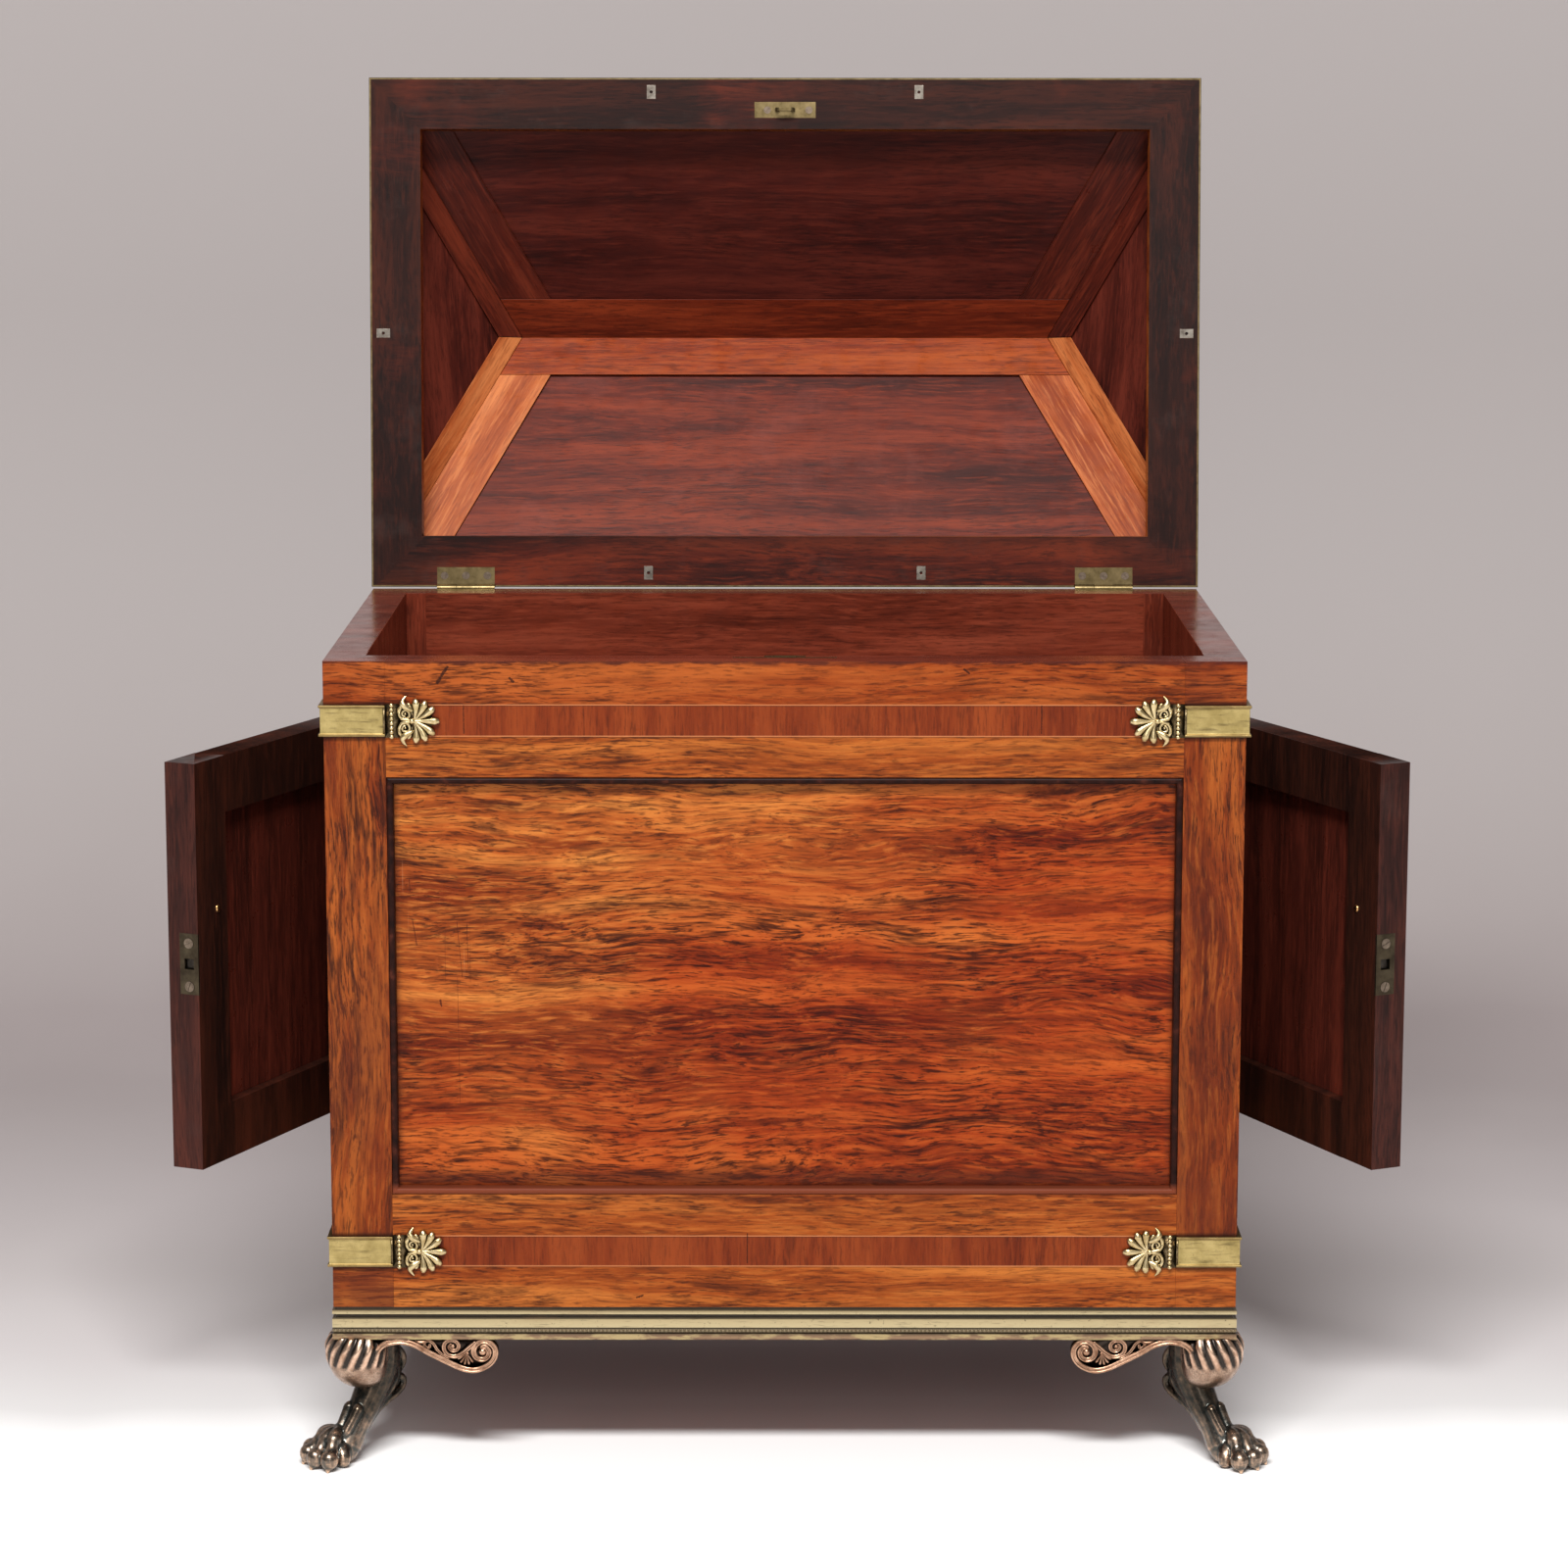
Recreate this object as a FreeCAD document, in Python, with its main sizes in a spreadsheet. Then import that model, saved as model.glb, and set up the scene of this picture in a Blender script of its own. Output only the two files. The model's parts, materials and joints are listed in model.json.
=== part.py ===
import FreeCAD, Part
import math
import os
import re
import Sketcher
from FreeCAD import Matrix, Placement, Rotation, Vector

# A free-standing cellarette: a panelled case on four cast paw feet, with a hipped lid that is hinged at
# the back and a cupboard door at each end. Millimetres, +Z up, +X to the right, the front faces -Y.
# The origin lies on the floor, under the middle of the box that the open piece fills.
# Every piece is drawn in the closed case's frame and then placed by the body that it belongs to.

KNUCKLES = 3
PETALS = 7
PETAL_NOTCH = 0.8
TOE_BEARINGS = (-46, -16, 16, 46)

SIZES = [
    # the case
    ("case_width", 730, "over the two side faces"),
    ("case_depth", 445, "over the front and back faces"),
    ("carcass_height", 528, "wooden carcass, from the brass plinth to the rim"),
    ("plinth_height", 27, "brass base moulding"),
    ("foot_height", 106, "from the floor to the base moulding"),
    ("wall", 31.7, "thickness of rails and posts"),
    ("post_face", 49, "post's width on the front and back"),
    ("post_side", 51.5, "post's width on the sides"),
    ("top_band", 93, "height of the top rails"),
    ("bottom_band", 94, "height of the bottom rails"),
    ("panel_thickness", 12, "front and back panels"),
    ("panel_recess", 8, "how far a panel lies behind its frame"),
    ("board", 13, "floor of the well and floor of the cupboards"),
    ("partition", 16, "board between the two cupboards"),
    ("case_forward", 66, "case's centre in front of the origin"),
    # ebonised bead round each sunk panel
    ("bead_width", 5.5, "on the face"),
    ("bead_proud", 1.2, "crown of the bead in front of the frame"),
    # brass base moulding
    ("moulding_depth", 12, "behind the case's faces"),
    ("moulding_proud", 1, "fillets in front of the case's faces"),
    # doors
    ("door_thickness", 27.8, "frame of a door"),
    ("door_frame", 47, "width of a door's stiles and rails"),
    ("door_panel", 10, "thickness of a door's panel"),
    ("door_gap", 1.5, "above and below a door"),
    ("door_hinge_gap", 1, "between a door and its hinge post"),
    ("door_lock_gap", 1.7, "between a door and its lock post"),
    ("left_door_ajar", 23.9, "degrees open at rest"),
    ("right_door_ajar", 24.7, "degrees open at rest"),
    # lid
    ("lid_overhang", 0.2, "lid's wood beyond the case, all round"),
    ("lid_gap", 0.4, "between the shut lid and the case"),
    ("rim_width", 43.5, "flat frame round the mouth of the lid"),
    ("lid_rise", 114, "inside of the ridge above the lid's mouth"),
    ("ridge_length", 478, "between the two hipped ends"),
    ("lid_shell", 24, "slopes' thickness, measured straight up"),
    ("lid_sunk", 4, "slopes' panels behind their frames"),
    ("ridge_rail", 34, "in plan"),
    ("foot_rail", 40, "in plan, hidden over the rim"),
    ("long_stile", 46, "hip stile of a long slope, along X"),
    ("end_stile", 20, "hip stile of an end slope, along X"),
    ("edge_strip", 1.5, "brass strip on the lid's edge"),
    ("edge_strip_height", 9, "brass strip on the lid's edge"),
    ("lid_open", 96.06, "degrees open at rest"),
    # butt hinges
    ("leaf_length", 51, "every hinge"),
    ("leaf_thickness", 2, "every hinge"),
    ("lid_leaf_width", 16, "from the lid's edge"),
    ("door_leaf_width", 24, "from the case's side"),
    ("knuckle_radius", 3.1, "barrel"),
    ("pin_radius", 1.5, "hinge pin"),
    ("running_gap", 0.06, "pin to bore, on the radius"),
    ("knuckle_gap", 0.3, "end to end, and round the barrel"),
    ("pin_proud", 2, "door hinge axis outside the case's side"),
    ("lid_hinge_x", 283, "middle of a lid hinge from the middle of the case"),
    ("door_hinge_inset", 62, "middle of a door hinge from the door's end"),
    # locks
    ("selvedge", 2, "thickness of lock plates and strikes"),
    ("lock_height", 50.8, "door lock's plate"),
    ("lock_width", 17.5, "door lock's plate"),
    ("lock_case", 12, "thickness of a door lock's case"),
    ("lock_depth", 32, "door lock's case"),
    ("bolt_size", 8, "square bolt"),
    ("bolt_length", 18, "door bolt"),
    ("bolt_sunk", 3, "drawn bolt behind its plate"),
    ("bolt_throw", 11, "travel of a door bolt"),
    ("bolt_gap", 0.3, "round a bolt"),
    ("lock_rise", 172, "middle of a door lock above the door's foot"),
    ("link_length", 54, "lid's link plate"),
    ("link_width", 14, "lid's link plate"),
    ("link_back", 26.5, "middle of the link plate from the case's front"),
    ("staple_width", 17, "over its legs"),
    ("staple_drop", 11, "below the lid"),
    ("staple_wire", 3, "thickness"),
    ("catch_length", 83, "brass face of the lid lock"),
    ("catch_strip", 5, "brass face's narrow ends"),
    ("catch_front", 8, "lid lock in front of the staple"),
    ("catch_inside", 8, "lid lock behind the front wall"),
    ("catch_height", 34, "lid lock"),
    # brass corner straps
    ("strap_height", 25, "plain band"),
    ("strap_proud", 5, "lips in front of the case"),
    ("strap_reach", 49, "plain band from the corner"),
    ("strap_drop", 47.5, "middle of an upper strap below the rim"),
    ("strap_lift", 47, "middle of a lower strap above the plinth"),
    ("strap_lip", 3, "raised edges of the plain band"),
    ("strap_field", 1.6, "sunk between the lips"),
    ("strap_bed", 1.6, "thin plate that carries the ornament"),
    ("strap_pearl", 2.1, "radius of the column of pearls"),
    ("pearl_set", 5.2, "column of pearls beyond the band"),
    ("scroll_set", 16, "pair of scrolls beyond the band"),
    ("scroll_radius", 4.9, "each scroll"),
    ("leaf_tip", 20, "tip of a scroll's leaf from the strap's middle"),
    ("fan_set", 23, "root of the palmette beyond the band"),
    ("fan_radius", 18.4, "middle petal of the palmette"),
    # small clips in the lid's rim
    ("clip_length", 12, "screw plate"),
    ("clip_width", 8, "screw plate"),
    ("clip_thickness", 1.2, "screw plate"),
    ("clip_hole", 2.6, "across the screw hole"),
    # feet
    ("haunch_radius", 23.5, "knee, at its widest"),
    ("haunch_set", 16, "knee's axis in from both faces"),
    ("haunch_drop", 40, "knee and the cup under it, below the plinth"),
    ("bracket_length", 132, "scroll bracket from the corner"),
    ("bracket_drop", 29, "scroll bracket below the plinth"),
    ("bracket_thickness", 8, "scroll bracket"),
    ("scroll_proud", 3, "bracket's scrolls in front of its plate"),
    ("ankle_radius", 12.6, "narrowest part of the leg"),
    ("thigh_in", 51, "leg's top in from the corner along the diagonal"),
    ("spur_reach", 74, "leaf behind the leg, in from the corner along the diagonal"),
    ("spur_thickness", 9, "leaf behind the leg"),
    ("paw_in", 11.3, "paw's middle in from the corner along the diagonal"),
    ("paw_turn", 8, "degrees that the paw turns from the diagonal towards the side"),
    ("pad_radius", 15, "pad in the paw's middle"),
    ("pad_height", 11, "middle of the pad above the floor"),
    ("toe_length", 24.5, "from the paw's middle to the middle of a toe's tip"),
    ("toe_radius", 6.8, "one toe at its tip"),
]

DERIVED = [
    ("half_width", "case_width / 2"),
    ("half_depth", "case_depth / 2"),
    ("plinth_top", "foot_height + plinth_height"),
    ("rim_top", "plinth_top + carcass_height"),
    ("sill", "plinth_top + bottom_band"),
    ("lintel", "rim_top - top_band"),
    ("inner_x", "half_width - wall"),
    ("inner_y", "half_depth - wall"),
    ("face_opening", "half_width - post_face"),
    ("side_opening", "half_depth - post_side"),
    ("panel_back", "half_depth - panel_recess - panel_thickness"),
    ("well_floor_top", "lintel + board"),
    ("lid_x", "half_width + lid_overhang"),
    ("lid_y", "half_depth + lid_overhang"),
    ("lid_z", "rim_top + lid_gap"),
    ("rim_thickness", "lid_rise * rim_width / lid_y"),
    ("hip_run", "lid_x - ridge_length / 2"),
    ("end_foot_rail", "foot_rail * hip_run / lid_y"),
    ("lid_pivot_y", "lid_y + edge_strip + 1"),
    ("lid_pivot_z", "rim_top + lid_gap / 2"),
    ("door_foot", "sill + door_gap"),
    ("door_top", "lintel - door_gap"),
    ("door_back", "side_opening - door_hinge_gap"),
    ("door_front", "-side_opening + door_lock_gap"),
    ("door_face", "half_width"),
    ("door_inside", "half_width - door_thickness"),
    ("door_pivot_x", "half_width + pin_proud"),
    ("door_pivot_y", "side_opening - door_hinge_gap / 2"),
    ("lock_z", "door_foot + lock_rise"),
    ("lock_x", "door_inside + lock_width / 2"),
    ("link_y", "half_depth - link_back"),
    ("catch_low", "lid_z - staple_drop + staple_wire"),
    ("catch_high", "rim_top - selvedge - 0.7"),
]

doc = FreeCAD.newDocument("cellarette")


# ---------------------------------------------------------------- sizes

def fill_sheet():
    """The driving sizes: one row each, the alias on the number."""
    sheet = doc.addObject("Spreadsheet::Sheet", "Sizes")
    for row, (alias, number, meaning) in enumerate(SIZES, start=1):
        sheet.set(f"A{row}", alias)
        sheet.set(f"B{row}", str(number))
        sheet.setAlias(f"B{row}", alias)
        sheet.set(f"C{row}", meaning)
    return sheet


def fill_derived():
    """Sizes that follow from the sheet, as properties bound to it."""
    holder = doc.addObject("App::VarSet", "Derived")
    for name, formula in DERIVED:
        holder.addProperty("App::PropertyFloat", name, "Derived")
        holder.setExpression(name, bound(formula))
    return holder


def bound(formula):
    """A formula in plain names, with each name turned into the property that holds it."""
    sheet_names = {row[0] for row in SIZES}
    derived_names = {row[0] for row in DERIVED}

    def full_name(match):
        word = match.group(0)
        if word in sheet_names:
            return "Sizes." + word
        if word in derived_names:
            return "Derived." + word
        return word

    return re.sub(r"[A-Za-z_]+", full_name, str(formula))


sizes = fill_sheet()
doc.recompute()
derived = fill_derived()
doc.recompute()


def number(formula):
    """The present value of a formula in plain names."""
    return float(sizes.evalExpression(bound(formula)))


# ---------------------------------------------------------------- placing

CASE_SHIFT = bound("vector(0; -case_forward; 0)")

BODY_PLACEMENT = {
    "case": f"placement({CASE_SHIFT}; rotation(vector(0; 0; 1); 0))",
    "lid": f"placement({CASE_SHIFT}; rotation(vector(1; 0; 0); -Sizes.lid_open); "
           "vector(0; Derived.lid_pivot_y; Derived.lid_pivot_z))",
    "left_door": f"placement({CASE_SHIFT}; rotation(vector(0; 0; 1); -Sizes.left_door_ajar); "
                 "vector(-Derived.door_pivot_x; Derived.door_pivot_y; 0))",
    "right_door": f"placement({CASE_SHIFT}; rotation(vector(0; 0; 1); Sizes.right_door_ajar); "
                  "vector(Derived.door_pivot_x; Derived.door_pivot_y; 0))",
}

parts = []


def part(obj, label, body):
    """Makes obj the sub-part called label, and places it with the body that carries it."""
    obj.Label = label
    obj.setExpression("Placement", BODY_PLACEMENT[body])
    parts.append(obj)
    return obj


# ---------------------------------------------------------------- solids bound to the sheet

def span(side, near, far):
    """The stretch from near to far on the positive side, or its mirror image."""
    return (f"{near}", f"{far}") if side > 0 else (f"-({far})", f"-({near})")


def box(name, x, y, z):
    """A Part box from pairs of formulas."""
    made = doc.addObject("Part::Box", name)
    for prop, axis, (low, high) in (("Length", "x", x), ("Width", "y", y), ("Height", "z", z)):
        made.setExpression(prop, bound(f"({high}) - ({low})"))
        made.setExpression(f"Placement.Base.{axis}", bound(low))
    return made


def cylinder(name, radius, centre, length, axis="z"):
    """A Part cylinder whose middle is at centre; its axis runs along X, Y or Z."""
    made = doc.addObject("Part::Cylinder", name)
    made.Placement.Rotation = {"x": Rotation(Vector(0, 1, 0), 90),
                               "y": Rotation(Vector(1, 0, 0), -90), "z": Rotation()}[axis]
    made.setExpression("Radius", bound(radius))
    made.setExpression("Height", bound(length))
    for letter, formula in zip("xyz", centre):
        start = f"({formula}) - ({length}) / 2" if letter == axis else formula
        made.setExpression(f"Placement.Base.{letter}", bound(start))
    return made


def cut(name, base, tools):
    """base less its tools."""
    made = doc.addObject("Part::Cut", name)
    made.Base = base
    made.Tool = tools[0] if len(tools) == 1 else joined(name + "_tools", tools)
    return made


def joined(name, pieces):
    """One solid from pieces that meet."""
    made = doc.addObject("Part::MultiFuse", name)
    made.Shapes = pieces
    made.Refine = True
    return made


def group(name, pieces):
    """Separate solids kept as one sub-part."""
    made = doc.addObject("Part::Compound", name)
    made.Links = pieces
    return made


def profile_body(name, plane, outline, start, length):
    """A PartDesign body: a straight-sided outline on an origin plane, padded by length from start.

    The plane is XY, XZ or YZ, and each corner of the outline is a pair of formulas."""
    body = doc.addObject("PartDesign::Body", name)
    sketch = body.newObject("Sketcher::SketchObject", name + "_outline")
    support = [o for o in body.Origin.OriginFeatures if o.Role == plane + "_Plane"][0]
    sketch.AttachmentSupport = [(support, "")]
    sketch.MapMode = "FlatFace"
    backward = plane == "XZ"
    sketch.setExpression("AttachmentOffset.Base.z", bound(f"-({start})" if backward else start))
    corners = [Vector(number(u), number(v), 0) for u, v in outline]
    count = len(corners)
    for i in range(count):
        sketch.addGeometry(Part.LineSegment(corners[i], corners[(i + 1) % count]), False)
    for i in range(count):
        sketch.addConstraint(Sketcher.Constraint("Coincident", i, 2, (i + 1) % count, 1))
        for kind, value, formula in (("DistanceX", corners[i].x, outline[i][0]),
                                     ("DistanceY", corners[i].y, outline[i][1])):
            index = sketch.addConstraint(Sketcher.Constraint(kind, -1, 1, i, 1, value))
            sketch.setExpression(f"Constraints[{index}]", bound(formula))
    pad = body.newObject("PartDesign::Pad", name + "_pad")
    pad.Profile = sketch
    pad.Reversed = backward
    pad.setExpression("Length", bound(length))
    sketch.Visibility = False
    return body


def plain(name, shape):
    """A Part feature for a form that neither bodies nor primitives draw. The compound keeps the shape
    where it was drawn when the feature gets its own Placement."""
    made = doc.addObject("Part::Feature", name)
    made.Shape = Part.makeCompound([shape])
    return made


# ---------------------------------------------------------------- mitred frames

def profile_face(corners, arcs=()):
    """A face at x = 0 from (inward, up) corners. An arc replaces the straight run that starts at its
    corner, and bulges through the given point."""
    bulge = dict(arcs)
    points = [Vector(0, u, v) for u, v in corners]
    edges = []
    for i, start in enumerate(points):
        end = points[(i + 1) % len(points)]
        if i in bulge:
            edges.append(Part.Arc(start, Vector(0, *bulge[i]), end).toShape())
        else:
            edges.append(Part.makeLine(start, end))
    return Part.Face(Part.Wire(edges))


def mitred_bar(face, half_length, distance, outreach, depth):
    """One side of a frame along X: the profile's zero lies at y = -distance, inward is +Y."""
    reach = half_length + outreach
    bar = face.translated(Vector(-reach, -distance, 0)).extrude(Vector(2 * reach, 0, 0))
    inset = min(half_length, distance) * 0.9
    corners = [(-reach, -distance - outreach), (reach, -distance - outreach),
               (half_length - inset, -distance + inset), (-half_length + inset, -distance + inset)]
    wire = Part.makePolygon([Vector(x, y, -depth) for x, y in corners + corners[:1]])
    return bar.common(Part.Face(wire).extrude(Vector(0, 0, 2 * depth)))


def mitred_frame(face, half_x, half_y, outreach=5.0, depth=80.0):
    """Four mitred bars round a rectangle in the XY plane, as a list of solids."""
    bars = []
    for quarter in range(4):
        across = quarter % 2
        half_length, distance = (half_y, half_x) if across else (half_x, half_y)
        bar = mitred_bar(face, half_length, distance, outreach, depth)
        bars.append(bar.rotated(Vector(), Vector(0, 0, 1), 90 * quarter).Solids[0])
    return bars


def facing(solids, normal, position):
    """Turns solids drawn flat, with +Z as their face, so that the face looks along normal."""
    turn = Rotation(Vector(1, 0, 0), Vector(0, 0, 1), normal, "ZYX")
    if abs(normal.x) > 0:
        turn = Rotation(Vector(0, 1, 0), Vector(0, 0, 1), normal, "ZYX")
    return Part.makeCompound([s.transformed(Placement(position, turn).toMatrix(), True)
                              for s in solids])


# ---------------------------------------------------------------- carcass

def make_posts():
    """Four L-shaped corner posts, with mortises for the door bolts and seats for the hinges."""
    for side, side_name in ((-1, "left"), (1, "right")):
        for end, end_name in ((-1, "front"), (1, "back")):
            name = f"{end_name}_{side_name}_post"
            outline = [
                (f"{side} * half_width", f"{end} * half_depth"),
                (f"{side} * face_opening", f"{end} * half_depth"),
                (f"{side} * face_opening", f"{end} * inner_y"),
                (f"{side} * inner_x", f"{end} * inner_y"),
                (f"{side} * inner_x", f"{end} * side_opening"),
                (f"{side} * half_width", f"{end} * side_opening"),
            ]
            body = profile_body(name + "_blank", "XY", outline, "plinth_top", "carcass_height")
            tools = strike_seat(side) if end < 0 else post_hinge_seats(side)
            part(cut(name, body, tools), name, "case")


def strike_seat(side):
    """Room in a front post for the strike plate and, behind it, the thrown bolt."""
    plate = box(f"strike_seat_{side + 1}", span(side, "lock_x - lock_width / 2", "lock_x + lock_width / 2"),
                ("-side_opening - selvedge", "-side_opening"),
                ("lock_z - lock_height / 2", "lock_z + lock_height / 2"))
    hole = box(f"strike_hole_{side + 1}",
               span(side, "lock_x - bolt_size / 2 - 1", "lock_x + bolt_size / 2 + 1"),
               ("-side_opening - bolt_throw - 3", "-side_opening"),
               ("lock_z - bolt_size / 2 - 1", "lock_z + bolt_size / 2 + 1"))
    return [plate, hole]


def door_hinge_heights():
    return {"lower": "door_foot + door_hinge_inset", "upper": "door_top - door_hinge_inset"}


def hinge_recess(name, side, middle):
    """The round groove that a door hinge's barrel turns in."""
    return cylinder(name, "knuckle_radius + knuckle_gap", (f"{side} * door_pivot_x", "door_pivot_y", middle),
                    "leaf_length + 1")


def post_hinge_seats(side):
    seats = []
    for level, middle in door_hinge_heights().items():
        tag = f"{level}_{side + 1}"
        seats.append(box(f"post_seat_{tag}",
                         span(side, "door_pivot_x - door_leaf_width", "half_width"),
                         ("side_opening", "side_opening + leaf_thickness"),
                         (f"{middle} - leaf_length / 2", f"{middle} + leaf_length / 2")))
        seats.append(hinge_recess(f"post_groove_{tag}", side, middle))
    return seats


def make_rails():
    """Top and bottom rails between the posts on all four sides."""
    levels = {"top": ("lintel", "rim_top"), "bottom": ("plinth_top", "sill")}
    for level, heights in levels.items():
        for end, face in ((-1, "front"), (1, "back")):
            name = f"{face}_{level}_rail"
            blank = box(name + "_blank", ("-face_opening", "face_opening"),
                        span(end, "inner_y", "half_depth"), heights)
            if level == "bottom":
                part(group(name, [blank]), name, "case")
            elif face == "front":
                part(cut(name, blank, catch_outline("catch_seat")), name, "case")
            else:
                part(cut(name, blank, lid_hinge_seats()), name, "case")
        for side, face in ((-1, "left"), (1, "right")):
            name = f"{face}_{level}_rail"
            blank = box(name + "_blank", span(side, "inner_x", "half_width"),
                        ("-side_opening", "side_opening"), heights)
            part(group(name, [blank]), name, "case")


def make_panels():
    """Front and back panels, sunk behind their frames, and the bead round each."""
    for end, face in ((-1, "front"), (1, "back")):
        panel = box(f"{face}_panel_blank", ("-face_opening", "face_opening"),
                    span(end, "panel_back", "half_depth - panel_recess"), ("sill", "lintel"))
        part(group(f"{face}_panel", [panel]), f"{face}_panel", "case")
        bars = mitred_frame(bead_profile(), number("face_opening"), number("(lintel - sill) / 2"))
        centre = Vector(0, end * number("half_depth"), number("(lintel + sill) / 2"))
        bead = plain(f"{face}_panel_bead", facing(bars, Vector(0, end, 0), centre))
        part(bead, f"{face}_panel_bead", "case")


def bead_profile():
    """Section of the ebonised bead: it fills the corner of the sunk panel and is round in front."""
    width, proud = number("bead_width"), number("bead_proud")
    back = -number("panel_recess")
    shoulder = proud - width / 2
    return profile_face([(0, back), (0, shoulder), (width, shoulder), (width, back)],
                        [(1, (width / 2, proud))])


def make_boards():
    """Floor of the cupboards, floor of the well, and the board between the cupboards."""
    floors = {"cupboard_floor": ("sill - board", "sill"), "well_floor": ("lintel", "well_floor_top")}
    for name, heights in floors.items():
        blank = box(name + "_blank", ("-inner_x", "inner_x"), ("-inner_y", "inner_y"), heights)
        part(group(name, [blank]), name, "case")
    blank = box("cupboard_partition_blank", ("-partition / 2", "partition / 2"),
                ("-panel_back", "panel_back"), ("sill", "lintel"))
    part(group("cupboard_partition", [blank]), "cupboard_partition", "case")


def make_plinth():
    """The board that the feet are screwed to, and the stepped brass moulding round its edge."""
    blank = box("plinth_board_blank", ("-half_width + moulding_depth", "half_width - moulding_depth"),
                ("-half_depth + moulding_depth", "half_depth - moulding_depth"),
                ("foot_height", "plinth_top"))
    part(group("plinth_board", [blank]), "plinth_board", "case")
    bars = mitred_frame(moulding_profile(), number("half_width"), number("half_depth"))
    moulding = Part.makeCompound(bars)
    moulding.translate(Vector(0, 0, number("foot_height")))
    part(plain("base_moulding", moulding), "base_moulding", "case")


def moulding_profile():
    """From the bottom: fillet, row of pearls drawn as a round, flat band, cove, thin fillet, quirk."""
    proud, depth = -number("moulding_proud"), number("moulding_depth")
    height = number("plinth_height")
    fillet, pearls, band, cove, top_fillet = (height * share for share in (0.18, 0.37, 0.65, 0.79, 0.9))
    corners = [
        (depth, 0), (proud, 0), (proud, fillet), (0.6, fillet), (0.6, pearls), (proud, pearls),
        (proud, band), (1.0, band), (1.0, cove), (proud, cove), (proud, top_fillet),
        (1.5, top_fillet), (1.5, height), (depth, height),
    ]
    arcs = [(3, (-0.5, (fillet + pearls) / 2)), (7, (2.2, (band + cove) / 2))]
    return profile_face(corners, arcs)


# ---------------------------------------------------------------- butt hinges

def hinge(width, gap):
    """(fixed leaf, moving leaf, pin) of a butt hinge about the Z axis, shut. The leaves reach out along
    +X, the fixed one on the +Y side of the closing plane."""
    length, thickness = number("leaf_length"), number("leaf_thickness")
    radius, pin_radius, clear = number("knuckle_radius"), number("pin_radius"), number("knuckle_gap")
    bore = pin_radius + number("running_gap")
    knuckle = length / KNUCKLES
    leaves = []
    for side in (1, -1):
        low_y = gap / 2 if side > 0 else -gap / 2 - thickness
        eye = knuckle_section(radius, bore, low_y, thickness, radius + clear)
        pieces = []
        for index in range(0 if side > 0 else 1, KNUCKLES, 2):
            foot = -length / 2 + index * knuckle + (clear / 2 if index else 0)
            top = -length / 2 + (index + 1) * knuckle - (clear / 2 if index < KNUCKLES - 1 else 0)
            pieces.append(eye.translated(Vector(0, 0, foot)).extrude(Vector(0, 0, top - foot)))
        plate = Part.makeBox(width - radius - clear, thickness, length,
                             Vector(radius + clear, low_y, -length / 2))
        leaves.append(plate.fuse(pieces).removeSplitter())
    pin = Part.makeCylinder(pin_radius, length, Vector(0, 0, -length / 2))
    return leaves[0], leaves[1], pin


def knuckle_section(radius, bore, low_y, thickness, reach):
    """Section of a knuckle and the tongue that joins it to its leaf, with the pin's bore."""
    def disc(size):
        return Part.Face(Part.Wire([Part.makeCircle(size)]))

    tongue = Part.makePolygon([Vector(0, low_y), Vector(reach, low_y), Vector(reach, low_y + thickness),
                               Vector(0, low_y + thickness), Vector(0, low_y)])
    return disc(radius).fuse(Part.Face(tongue)).removeSplitter().cut(disc(bore)).Faces[0]


def lid_hinges():
    """Both lid hinges in the case's frame: the axis along X, the leaves running forward."""
    turn = Matrix(0, 0, 1, 0, -1, 0, 0, 0, 0, -1, 0, 0, 0, 0, 0, 1)
    leaves = [[], [], []]
    for side in (-1, 1):
        centre = Vector(side * number("lid_hinge_x"), number("lid_pivot_y"), number("lid_pivot_z"))
        for made, shape in zip(leaves, hinge(number("lid_leaf_width + 2.5"), number("lid_gap"))):
            placed = shape.transformed(turn, True)
            placed.translate(centre)
            made.append(placed)
    return [Part.makeCompound(made) for made in leaves]


def lid_hinge_seats():
    """Sinkings in the back rail's top for the lid hinges' lower leaves and barrels."""
    seats = []
    for side in (-1, 1):
        across = span(side, "lid_hinge_x - leaf_length / 2", "lid_hinge_x + leaf_length / 2")
        seats.append(box(f"case_leaf_seat_{side + 1}", across,
                         ("lid_pivot_y - lid_leaf_width - 2.5", "half_depth"),
                         ("rim_top - leaf_thickness", "rim_top")))
        seats.append(lid_groove(f"case_groove_{side + 1}", side))
    return seats


def lid_groove(name, side):
    return cylinder(name, "knuckle_radius + knuckle_gap",
                    (f"{side} * lid_hinge_x", "lid_pivot_y", "lid_pivot_z"), "leaf_length + 1", "x")


def door_hinges(side):
    """Both hinges of one door in the case's frame, with the door shut."""
    leaves = [[], [], []]
    for middle in door_hinge_heights().values():
        centre = Vector(side * number("door_pivot_x"), number("door_pivot_y"), number(middle))
        for made, shape in zip(leaves, hinge(number("door_leaf_width"), number("door_hinge_gap"))):
            placed = shape if side < 0 else shape.mirror(Vector(), Vector(1, 0, 0))
            placed = placed.translated(centre)
            made.append(placed)
    return leaves


# ---------------------------------------------------------------- doors

def make_doors():
    """One framed door at each end, with its panel, bead, lock, bolt and hinge leaves."""
    case_leaves, pins = [], []
    for side, name in ((-1, "left_door"), (1, "right_door")):
        make_door_frame(side, name)
        make_door_panel(side, name)
        make_door_lock(side, name)
        fixed, moving, pin = door_hinges(side)
        part(plain(f"{name}_hinge_leaves", Part.makeCompound(moving)), f"{name}_hinge_leaves", name)
        case_leaves += fixed
        pins += pin
    part(plain("door_hinge_case_leaves", Part.makeCompound(case_leaves)), "door_hinge_case_leaves", "case")
    part(plain("door_hinge_pins", Part.makeCompound(pins)), "door_hinge_pins", "case")


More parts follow.
